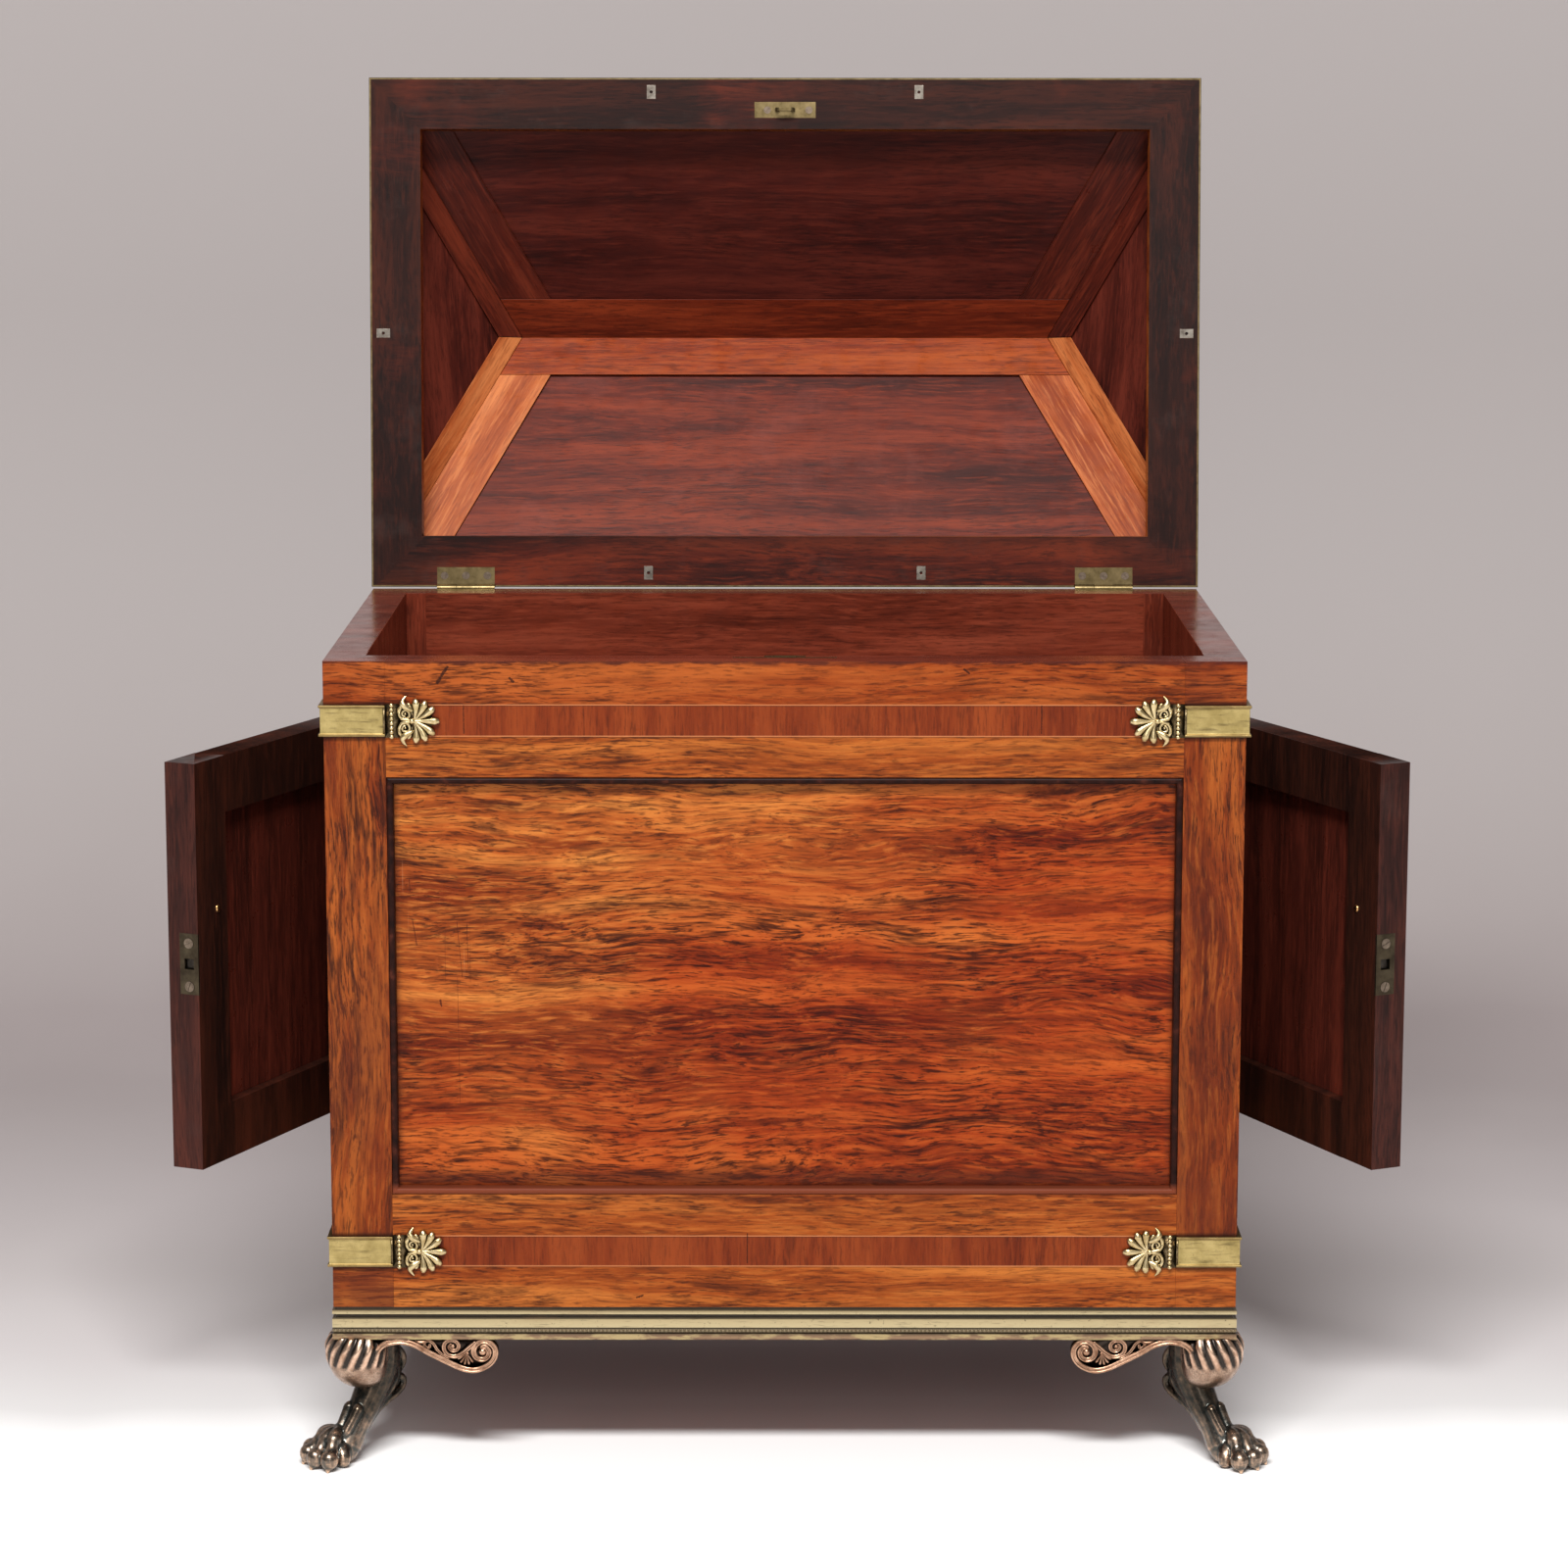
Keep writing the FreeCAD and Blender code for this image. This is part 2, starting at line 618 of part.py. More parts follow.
def make_door_frame(side, name):
    """Two stiles and two rails; the stiles take the hinge leaves and the lock."""
    through = span(side, "door_inside", "door_face")
    heights = ("door_foot", "door_top")
    back_stile = box(f"{name}_back_stile_blank", through, ("door_back - door_frame", "door_back"), heights)
    seats = []
    for level, middle in door_hinge_heights().items():
        seats.append(box(f"{name}_seat_{level}",
                         span(side, "door_pivot_x - door_leaf_width", "door_face"),
                         ("door_back - leaf_thickness", "door_back"),
                         (f"{middle} - leaf_length / 2", f"{middle} + leaf_length / 2")))
        seats.append(hinge_recess(f"{name}_groove_{level}", side, middle))
    front_stile = box(f"{name}_front_stile_blank", through, ("door_front", "door_front + door_frame"),
                      heights)
    pieces = [cut(f"{name}_back_stile", back_stile, seats),
              cut(f"{name}_front_stile", front_stile, lock_bodies(side, name + "_mortise"))]
    between = ("door_front + door_frame", "door_back - door_frame")
    for level, foot, top in (("lower", "door_foot", "door_foot + door_frame"),
                             ("upper", "door_top - door_frame", "door_top")):
        pieces.append(box(f"{name}_{level}_rail", through, between, (foot, top)))
    part(group(f"{name}_frame", pieces), f"{name}_frame", name)


def make_door_panel(side, name):
    panel = box(f"{name}_panel_blank",
                span(side, "door_face - panel_recess - door_panel", "door_face - panel_recess"),
                ("door_front + door_frame", "door_back - door_frame"),
                ("door_foot + door_frame", "door_top - door_frame"))
    part(group(f"{name}_panel", [panel]), f"{name}_panel", name)
    half_high = number("(door_top - door_foot) / 2 - door_frame")
    half_wide = number("(door_back - door_front) / 2 - door_frame")
    centre = Vector(side * number("door_face"), number("(door_back + door_front) / 2"),
                    number("(door_top + door_foot) / 2"))
    bars = mitred_frame(bead_profile(), half_wide, half_high)
    part(plain(f"{name}_bead", facing(bars, Vector(side, 0, 0), centre)), f"{name}_bead", name)


def lock_bodies(side, name):
    """The plate on the door's edge and the case behind it, as two boxes."""
    plate = box(f"{name}_plate", span(side, "lock_x - lock_width / 2", "lock_x + lock_width / 2"),
                ("door_front", "door_front + selvedge"),
                ("lock_z - lock_height / 2", "lock_z + lock_height / 2"))
    housing = box(f"{name}_housing", span(side, "lock_x - lock_case / 2", "lock_x + lock_case / 2"),
                  ("door_front + selvedge", "door_front + lock_depth"),
                  ("lock_z - lock_height * 0.42", "lock_z + lock_height * 0.42"))
    return [plate, housing]


def make_door_lock(side, name):
    """The lock, the square way through it and the bolt that slides there."""
    half_way = "(bolt_size / 2 + bolt_gap)"
    way = box(f"{name}_bolt_way", span(side, f"lock_x - {half_way}", f"lock_x + {half_way}"),
              ("door_front", "door_front + lock_depth - 3"),
              (f"lock_z - {half_way}", f"lock_z + {half_way}"))
    lock = cut(f"{name}_lock", joined(f"{name}_lock_body", lock_bodies(side, name + "_lock")), [way])
    part(lock, f"{name}_lock", name)
    bolt = box(f"{name}_bolt_blank", span(side, "lock_x - bolt_size / 2", "lock_x + bolt_size / 2"),
               ("door_front + bolt_sunk", "door_front + bolt_sunk + bolt_length"),
               ("lock_z - bolt_size / 2", "lock_z + bolt_size / 2"))
    part(group(f"{name}_bolt", [bolt]), f"{name}_bolt", name)


def make_strikes():
    """Plates in the front posts that the door bolts enter."""
    plates = []
    for side in (-1, 1):
        outer = box(f"strike_plate_{side + 1}",
                    span(side, "lock_x - lock_width / 2", "lock_x + lock_width / 2"),
                    ("-side_opening - selvedge", "-side_opening"),
                    ("lock_z - lock_height / 2", "lock_z + lock_height / 2"))
        hole = box(f"strike_window_{side + 1}",
                   span(side, "lock_x - bolt_size / 2 - 0.7", "lock_x + bolt_size / 2 + 0.7"),
                   ("-side_opening - selvedge", "-side_opening"),
                   ("lock_z - bolt_size / 2 - 0.7", "lock_z + bolt_size / 2 + 0.7"))
        plates.append(cut(f"strike_{side + 1}", outer, [hole]))
    part(group("door_strikes", plates), "door_strikes", "case")


# ---------------------------------------------------------------- lid lock

def catch_outline(name):
    """The T-shaped brass face in the front rim and the case below it, as boxes."""
    face_z = ("rim_top - selvedge", "rim_top")
    across = ("-staple_width / 2 - 8", "staple_width / 2 + 8")
    strip = box(f"{name}_strip", ("-catch_length / 2", "catch_length / 2"),
                ("-link_y - catch_front", "-link_y - catch_front + catch_strip"), face_z)
    face = box(f"{name}_face", across, ("-link_y - catch_front + catch_strip", "-inner_y"), face_z)
    housing = box(f"{name}_housing", ("-staple_width / 2 - 5", "staple_width / 2 + 5"),
                  ("-link_y - catch_front", "-inner_y + catch_inside"),
                  ("rim_top - catch_height", "rim_top - selvedge"))
    return [strip, face, housing]


def make_lid_lock():
    """The lock in the front rail. The lid's staple drops into its slot and the bolt slides through it."""
    body = joined("catch_body", catch_outline("catch"))
    slot = box("catch_slot", ("-staple_width / 2 - 1", "staple_width / 2 + 1"),
               ("-link_y - staple_wire / 2 - 1", "-link_y + staple_wire / 2 + 1"),
               ("rim_top - staple_drop - 3", "rim_top"))
    heights = ("catch_low", "catch_high")
    way = box("catch_bolt_way", ("-bolt_size / 2 - bolt_gap", "bolt_size / 2 + bolt_gap"),
              ("-link_y - catch_front + 1", "-inner_y + catch_inside - 1"), heights)
    part(cut("lid_lock", body, [slot, way]), "lid_lock", "case")
    bolt = box("lid_bolt_blank", ("-bolt_size / 2", "bolt_size / 2"),
               ("-link_y + staple_wire / 2 + 1.3", "-inner_y + catch_inside - 1.5"),
               ("catch_low + bolt_gap", "catch_high - bolt_gap"))
    part(group("lid_bolt", [bolt]), "lid_bolt", "case")


def make_link_plate():
    """The brass plate let into the lid's front rim, with the staple that the lid bolt holds."""
    plate = box("link_plate_blank", ("-link_length / 2", "link_length / 2"),
                ("-link_y - link_width / 2", "-link_y + link_width / 2"), ("lid_z", "lid_z + selvedge"))
    wide, drop, wire = number("staple_width"), number("staple_drop"), number("staple_wire")
    outer = Part.makeBox(wide, wire, drop, Vector(-wide / 2, -wire / 2, -drop))
    outer = outer.makeFillet(wide / 4, [e for e in outer.Edges if is_low_cross_edge(e, -drop, wire)])
    eye = Part.makeBox(wide - 2 * wire, wire, drop - wire + 0.5,
                       Vector(-wide / 2 + wire, -wire / 2, -drop + wire))
    staple = outer.cut(eye.cut(Part.makeBox(wide, wire, 1, Vector(-wide / 2, -wire / 2, 0))))
    staple.translate(Vector(0, -number("link_y"), number("lid_z")))
    part(joined("lid_link_plate", [plate, plain("staple", staple)]), "lid_link_plate", "lid")


def is_low_cross_edge(edge, low, wire):
    """The two edges along Y at the foot of the staple."""
    ends = [v.Point for v in edge.Vertexes]
    along = abs(abs(ends[0].y - ends[1].y) - wire) < 1e-6
    return along and all(abs(p.z - low) < 1e-6 for p in ends)


# ---------------------------------------------------------------- lid

def make_lid_rim():
    """The flat mitred frame round the lid's mouth, the seats sunk in it, and its brass edge."""
    width, thickness = number("rim_width"), number("rim_thickness")
    face = profile_face([(0, 0), (0, thickness), (width, thickness), (width, 0)])
    bars = mitred_frame(face, number("lid_x"), number("lid_y"))
    rim = Part.makeCompound(bars)
    rim.translate(Vector(0, 0, number("lid_z")))
    part(cut("lid_rim", plain("lid_rim_blank", rim), lid_rim_seats()), "lid_rim", "lid")
    strip, tall = number("edge_strip"), number("edge_strip_height")
    edge = profile_face([(-strip, 0.5), (-strip, tall), (0, tall), (0, 0), (-strip + 0.5, 0)])
    bars = mitred_frame(edge, number("lid_x"), number("lid_y"))
    brass = Part.makeCompound(bars)
    brass.translate(Vector(0, 0, number("lid_z")))
    grooves = [lid_groove(f"strip_groove_{side + 1}", side) for side in (-1, 1)]
    leaves = [lid_leaf_seat(f"strip_leaf_{side + 1}", side) for side in (-1, 1)]
    part(cut("lid_edge_strip", plain("lid_edge_blank", brass), grooves + leaves), "lid_edge_strip", "lid")


def lid_leaf_seat(name, side):
    """Room for a lid hinge's upper leaf, sunk flush in the rim."""
    return box(name, span(side, "lid_hinge_x - leaf_length / 2", "lid_hinge_x + leaf_length / 2"),
               ("lid_pivot_y - lid_leaf_width - 2.5", "lid_y + edge_strip"),
               ("lid_z", "lid_z + leaf_thickness"))


def lid_rim_seats():
    seats = [box("link_seat", ("-link_length / 2", "link_length / 2"),
                 ("-link_y - link_width / 2", "-link_y + link_width / 2"), ("lid_z", "lid_z + selvedge"))]
    for side in (-1, 1):
        seats.append(lid_leaf_seat(f"rim_leaf_{side + 1}", side))
        seats.append(lid_groove(f"rim_groove_{side + 1}", side))
    return seats + clip_blanks("clip_seat")


def clip_places():
    """Name, centre and lie of the six small plates let into the rim's outer part."""
    out_x = "lid_x - clip_length / 2 - 4"
    front_y = "-lid_y + clip_length / 2 + 5"
    back_y = "lid_y - clip_length / 2 - 5"
    return [("front_left", "-118", front_y, "y"), ("front_right", "118", front_y, "y"),
            ("back_left", "-121", back_y, "y"), ("back_right", "121", back_y, "y"),
            ("left", f"-({out_x})", "0", "x"), ("right", out_x, "0", "x")]


def clip_blanks(name):
    blanks = []
    for place, x, y, lie in clip_places():
        long_half, short_half = "clip_length / 2", "clip_width / 2"
        half_x, half_y = (long_half, short_half) if lie == "x" else (short_half, long_half)
        blanks.append(box(f"{name}_{place}", (f"{x} - {half_x}", f"{x} + {half_x}"),
                          (f"{y} - {half_y}", f"{y} + {half_y}"), ("lid_z", "lid_z + clip_thickness")))
    return blanks


def make_clips():
    """Small notched brass plates in the rim, each with one screw hole."""
    clips = []
    for (place, x, y, lie), blank in zip(clip_places(), clip_blanks("clip")):
        hole = cylinder(f"clip_hole_{place}", "clip_hole / 2", (x, y, "lid_z + clip_thickness / 2"),
                        "clip_thickness + 2")
        clips.append(cut(f"clip_{place}_plate", blank, [hole]))
    part(group("lid_clips", clips), "lid_clips", "lid")


def slope_slab(corners, height_at, sunk=0.0):
    """A slab of the roof over a plan outline: its underside follows the slope, its top lies one shell
    thickness straight above, and sunk lifts only the underside."""
    points = [Vector(x, y, height_at(x, y) + sunk) for x, y in corners]
    face = Part.Face(Part.makePolygon(points + points[:1]))
    slab = face.extrude(Vector(0, 0, number("lid_shell") - sunk))
    wide = number("case_width + case_depth")
    under = Part.makeBox(2 * wide, 2 * wide, wide,
                         Vector(-wide, -wide, number("lid_z + rim_thickness") - wide))
    return slab.cut(under).Solids[0]


def make_long_slopes():
    """Front and back of the roof: ridge rail, two hip stiles and a foot rail round a sunk panel."""
    lid_x, lid_y, run = number("lid_x"), number("lid_y"), number("hip_run")
    rise, base, sunk = number("lid_rise"), number("lid_z"), number("lid_sunk")
    ridge_y, foot_y, stile = number("ridge_rail"), lid_y - number("foot_rail"), number("long_stile")

    def hip_x(depth):
        return lid_x - run + run * depth / lid_y

    for end, name in ((-1, "front"), (1, "back")):
        def height_at(x, y):
            return base + rise * (lid_y - abs(y)) / lid_y

        def outline(points):
            return [(x, end * y) for x, y in points]

        ridge = [(-hip_x(0), 0), (hip_x(0), 0), (hip_x(ridge_y), ridge_y), (-hip_x(ridge_y), ridge_y)]
        foot = [(-hip_x(foot_y), foot_y), (hip_x(foot_y), foot_y),
                (hip_x(lid_y), lid_y), (-hip_x(lid_y), lid_y)]
        panel = [(-hip_x(ridge_y) + stile, ridge_y), (hip_x(ridge_y) - stile, ridge_y),
                 (hip_x(foot_y) - stile, foot_y), (-hip_x(foot_y) + stile, foot_y)]
        frame = [slope_slab(outline(ridge), height_at), slope_slab(outline(foot), height_at)]
        for side in (-1, 1):
            hip = [(side * hip_x(ridge_y), ridge_y), (side * hip_x(foot_y), foot_y),
                   (side * (hip_x(foot_y) - stile), foot_y), (side * (hip_x(ridge_y) - stile), ridge_y)]
            frame.append(slope_slab(outline(hip), height_at))
        part(plain(f"lid_{name}_frame", Part.makeCompound(frame)), f"lid_{name}_frame", "lid")
        slab = slope_slab(outline(panel), height_at, sunk)
        part(plain(f"lid_{name}_panel", slab), f"lid_{name}_panel", "lid")


def make_end_slopes():
    """Hipped ends of the roof: two hip stiles and a foot rail round a sunk triangular panel."""
    lid_x, lid_y, run = number("lid_x"), number("lid_y"), number("hip_run")
    rise, base, sunk = number("lid_rise"), number("lid_z"), number("lid_sunk")
    stile, foot_x = number("end_stile"), lid_x - number("end_foot_rail")
    apex_x = lid_x - run

    def hip_y(x):
        return lid_y * (x - apex_x) / run

    for side, name in ((-1, "left"), (1, "right")):
        def height_at(x, y):
            return base + rise * (lid_x - abs(x)) / run

        def outline(points):
            return [(side * x, y) for x, y in points]

        frame = [slope_slab(outline([(foot_x, -hip_y(foot_x)), (lid_x, -lid_y), (lid_x, lid_y),
                                     (foot_x, hip_y(foot_x))]), height_at)]
        inner_y = hip_y(foot_x - stile)
        for end in (-1, 1):
            hip = [(apex_x, 0), (foot_x, end * hip_y(foot_x)), (foot_x, end * inner_y), (apex_x + stile, 0)]
            frame.append(slope_slab(outline(hip), height_at))
        part(plain(f"lid_{name}_frame", Part.makeCompound(frame)), f"lid_{name}_frame", "lid")
        panel = outline([(apex_x + stile, 0), (foot_x, -inner_y), (foot_x, inner_y)])
        part(plain(f"lid_{name}_panel", slope_slab(panel, height_at, sunk)), f"lid_{name}_panel", "lid")


def make_lid_hinges():
    fixed, moving, pins = lid_hinges()
    part(plain("lid_hinge_case_leaves", fixed), "lid_hinge_case_leaves", "case")
    part(plain("lid_hinge_leaves", moving), "lid_hinge_leaves", "lid")
    part(plain("lid_hinge_pins", pins), "lid_hinge_pins", "case")


# ---------------------------------------------------------------- corner straps

def upright_plate(edges, thickness):
    """A plate whose outline lies in XZ and whose back is the plane y = 0."""
    return Part.Face(Part.Wire(edges)).extrude(Vector(0, thickness, 0))


def palmette(root_x, thickness):
    """Seven petals that open along +X from their root, each petal one arc."""
    radius = number("fan_radius")
    step = math.radians(200 / PETALS)
    first = -step * PETALS / 2

    def at(reach, angle):
        return Vector(root_x + reach * math.cos(angle), 0, reach * math.sin(angle))

    notches = [at(radius * PETAL_NOTCH, first + index * step) for index in range(PETALS + 1)]
    tips = [at(radius, first + (index + 0.5) * step) for index in range(PETALS)]
    edges = [Part.Arc(notches[i], tips[i], notches[i + 1]).toShape() for i in range(PETALS)]
    edges.append(Part.makeLine(notches[-1], notches[0]))
    return upright_plate(edges, thickness)


def scroll_leaf(middle_x, thickness):
    """The upper scroll's leaf, which runs from the scroll to a point."""
    radius, tip = number("scroll_radius"), number("leaf_tip")
    corners = [(-radius, radius), (radius, radius), (radius * 0.5, tip * 0.8), (radius * 0.2, tip),
               (-radius * 0.6, tip * 0.8)]
    points = [Vector(middle_x + x, 0, z) for x, z in corners]
    return Part.Face(Part.makePolygon(points + points[:1])).extrude(Vector(0, thickness, 0))


def strap_arm():
    """One arm of a strap on the plane y = 0, growing outward along +Y and away from the corner at
    x = 0 along +X: a lipped band, a column of pearls drawn as a round, scrolls, leaves and a palmette."""
    tall, proud, reach = number("strap_height"), number("strap_proud"), number("strap_reach")
    lip, sunk, bed = number("strap_lip"), number("strap_field"), number("strap_bed")
    band = Part.makeBox(reach + proud, proud, tall, Vector(-proud, 0, -tall / 2))
    field = Part.makeBox(reach + 2 * proud, sunk, tall - 2 * lip,
                         Vector(-2 * proud, proud - sunk, -tall / 2 + lip))
    scroll_x, ornament = reach + number("scroll_set"), 2 * bed
    plate = Part.makeBox(number("fan_set"), bed, tall, Vector(reach, 0, -tall / 2))
    pearls = Part.makeCylinder(number("strap_pearl"), tall,
                               Vector(reach + number("pearl_set"), bed, -tall / 2), Vector(0, 0, 1), 180)
    pieces = [plate, pearls, palmette(reach + number("fan_set"), bed * 1.5)]
    leaf = scroll_leaf(scroll_x, bed * 1.5)
    for turn in (-1, 1):
        centre = Vector(scroll_x, 0, turn * number("scroll_radius") * 1.15)
        pieces.append(Part.makeCylinder(number("scroll_radius"), ornament, centre, Vector(0, 1, 0)))
        pieces.append(leaf if turn > 0 else leaf.mirror(Vector(), Vector(0, 0, 1)))
    return band.cut(field).fuse(pieces)


def corner_strap():
    """Both arms of a strap round the front right corner, with the corner at the origin."""
    arm = strap_arm()
    on_front = arm.transformed(Matrix(-1, 0, 0, 0, 0, -1, 0, 0, 0, 0, 1, 0, 0, 0, 0, 1), True)
    on_side = arm.transformed(Matrix(0, 1, 0, 0, 1, 0, 0, 0, 0, 0, 1, 0, 0, 0, 0, 1), True)
    return on_front.fuse(on_side).removeSplitter()


def make_straps():
    """Four upper and four lower straps, one on each corner."""
    strap = corner_strap()
    levels = {"upper": number("rim_top - strap_drop"), "lower": number("plinth_top + strap_lift")}
    for level, height in levels.items():
        straps = []
        for side in (-1, 1):
            for end in (-1, 1):
                one = strap if side > 0 else strap.mirror(Vector(), Vector(1, 0, 0))
                one = one if end < 0 else one.mirror(Vector(), Vector(0, 1, 0))
                corner = Vector(side * number("half_width"), end * number("half_depth"), height)
                straps.append(one.translated(corner))
        part(plain(f"{level}_corner_straps", Part.makeCompound(straps)), f"{level}_corner_straps", "case")


# ---------------------------------------------------------------- feet

def outward(bearing):
    """The level direction that leaves the case's front right corner at a bearing from its diagonal."""
    angle = math.radians(bearing - 45)
    return Vector(math.cos(angle), math.sin(angle), 0)


def limb(bearing, stations):
    """A round limb that keeps to one upright plane, through (out, up, radius) stations: balls at the
    bends and the far end, joined by cones a little thinner than the balls."""
    centres = [outward(bearing) * out + Vector(0, 0, up) for out, up, radius in stations]
    radii = [radius for out, up, radius in stations]
    pieces = [Part.makeSphere(radius, centre) for radius, centre in zip(radii[1:], centres[1:])]
    for i in range(len(centres) - 1):
        along = centres[i + 1] - centres[i]
        pieces.append(Part.makeCone(radii[i] * 0.95, radii[i + 1] * 0.95, along.Length, centres[i], along))
    return pieces[0].fuse(pieces[1:])


def haunch():
    """The knee under the corner and the cup below it, turned about their own upright axis."""
    top, radius, inset = number("foot_height"), number("haunch_radius"), number("haunch_set")
    drop, axis = number("haunch_drop"), Vector(-inset, inset, 0)
    shoulder, waist, cup = radius * 0.85, radius * 0.82, radius * 0.7
    edges = [
        Part.makeLine(Vector(0, 0, top), Vector(shoulder, 0, top)),
        Part.Arc(Vector(shoulder, 0, top), Vector(radius, 0, top - drop * 0.3),
                 Vector(waist, 0, top - drop * 0.62)).toShape(),
        Part.Arc(Vector(waist, 0, top - drop * 0.62), Vector(cup, 0, top - drop * 0.8),
                 Vector(0, 0, top - drop)).toShape(),
        Part.makeLine(Vector(0, 0, top - drop), Vector(0, 0, top)),
    ]
    turned = Part.Face(Part.Wire(edges)).revolve(Vector(), Vector(0, 0, 1), 360)
    return turned.translated(axis)


def leg():
    """The hock: it drops from the plinth behind the haunch and comes down and out to the paw."""
    top, ankle, back = number("foot_height"), number("ankle_radius"), number("thigh_in")
    return limb(0, [(-back, top, 1.32 * ankle), (-back, 0.74 * top, 1.25 * ankle),
                    (-0.78 * back, 0.53 * top, 1.18 * ankle), (-0.47 * back, 0.31 * top, ankle),
                    (-0.29 * back, 0.16 * top, 1.04 * ankle)])


def spur():
    """The flat leaf behind the leg: it sweeps up from the ankle to two small curls below the plinth."""
    top, thickness, reach = number("foot_height"), number("spur_thickness"), number("spur_reach")
    root, foot = Vector(-reach / 3, 0, 0.4 * top), Vector(-reach / 3, 0, 0.14 * top)
    curl, notch = Vector(-reach, 0, 0.47 * top), Vector(-0.94 * reach, 0, 0.63 * top)
    high, inner = Vector(-0.94 * reach, 0, 0.8 * top), Vector(-reach / 2, 0, 0.9 * top)
    edges = [
        Part.Arc(foot, Vector(-0.68 * reach, 0, 0.26 * top), curl).toShape(),
        Part.Arc(curl, Vector(-1.03 * reach, 0, 0.55 * top), notch).toShape(),
        Part.Arc(notch, Vector(-reach, 0, 0.71 * top), high).toShape(),
        Part.makeLine(high, inner),
        Part.makeLine(inner, root),
        Part.makeLine(root, foot),
    ]
    leaf = upright_plate(edges, thickness).translated(Vector(0, -thickness / 2, 0))
    return leaf.rotated(Vector(), Vector(0, 0, 1), -45)


def paw():
    """Four toes that fan out from the paw's middle, high at the joint and low at the tip, and the pad."""
    length, radius, turn = number("toe_length"), number("toe_radius"), number("paw_turn")
    high = 2 * number("pad_height")
    shapes = [Part.makeSphere(number("pad_radius"), Vector(0, 0, number("pad_height")))]
    for bearing in TOE_BEARINGS:
        shapes.append(limb(bearing + turn, [(0.15 * length, high, 1.15 * radius),
                                            (0.55 * length, 0.95 * high, 0.95 * radius),
                                            (length, 1.15 * radius, radius)]))
    return shapes[0].fuse(shapes[1:]).translated(outward(0) * -number("paw_in"))


def bracket():
    """The scroll bracket below the front moulding: a plate from the corner along -X, and its scrolls."""
    top, length = number("foot_height"), number("bracket_length")
    drop, thickness, proud = number("bracket_drop"), number("bracket_thickness"), number("scroll_proud")
    outline = [(0.23, 0.5), (0.35, 0.17), (0.5, 0.28), (0.71, 0.79), (0.87, 0.99), (0.97, 0.75), (1, 0.3),
               (0.95, 0)]
    points = [Vector(-length * a, 0, top - drop * b) for a, b in outline]
    curve = Part.BSplineCurve()
    curve.interpolate(points)
    start = Vector(points[0].x, 0, top)
    edges = [curve.toShape(), Part.makeLine(points[-1], start), Part.makeLine(start, points[0])]
    shapes = [upright_plate(edges, thickness)]
    for along, level, radius in ((0.9, 0.42, 0.34), (0.72, 0.26, 0.24)):
        centre = Vector(-length * along, -proud, top - drop * level)
        shapes.append(Part.makeCylinder(drop * radius, proud + thickness / 2, centre, Vector(0, 1, 0)))
    return shapes[0].fuse(shapes[1:]).translated(Vector(0, proud, 0))


def front_right_foot():
    """The whole casting with the case's corner at the origin."""
    on_front = bracket()
    on_side = on_front.mirror(Vector(), Vector(1, 1, 0))
    solid = haunch().fuse([leg(), spur(), paw(), on_front, on_side])
    reach = number("bracket_length")
    floor = Part.makeBox(4 * reach, 4 * reach, reach, Vector(-2 * reach, -2 * reach, -reach))
    return solid.cut(floor).removeSplitter()


def make_feet():
    """Four paw feet, one under each corner."""
    foot = front_right_foot()
    for side, side_name in ((-1, "left"), (1, "right")):
        for end, end_name in ((-1, "front"), (1, "back")):
            one = foot if side > 0 else foot.mirror(Vector(), Vector(1, 0, 0))
            one = one if end < 0 else one.mirror(Vector(), Vector(0, 1, 0))
            corner = Vector(side * number("half_width"), end * number("half_depth"), 0)
            name = f"{end_name}_{side_name}_foot"
            part(plain(name, one.translated(corner)), name, "case")


# ---------------------------------------------------------------- build, check, write

def check(objects):
    """Stops if any object failed, or if a sub-part's shape is empty or broken."""
    for obj in objects:
        if "Invalid" in obj.State or "Error" in obj.State:
            raise RuntimeError(f"{obj.Label} did not compute: {obj.State}")
    for piece in parts:
        if piece.Shape.isNull() or not piece.Shape.isValid() or not piece.Shape.Solids:
            raise RuntimeError(f"{piece.Label} has no valid solid")


def main():
    make_posts()
    make_rails()
    make_panels()
    make_boards()
    make_plinth()
    make_doors()
    make_strikes()
    make_lid_lock()
    make_link_plate()
    make_lid_rim()
    make_clips()
    make_long_slopes()
    make_end_slopes()
    make_lid_hinges()
    make_straps()
    make_feet()
    doc.recompute()
    check(doc.Objects)
    os.makedirs("parts", exist_ok=True)
    for piece in parts:
        piece.Shape.exportStep(f"parts/{piece.Label}.step")
        print(piece.Label, len(piece.Shape.Solids), round(piece.Shape.Volume / 1000, 1), "cm3")


main()
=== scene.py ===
import json
import math
from collections import namedtuple
import bmesh
import bpy
from mathutils import Matrix, Vector


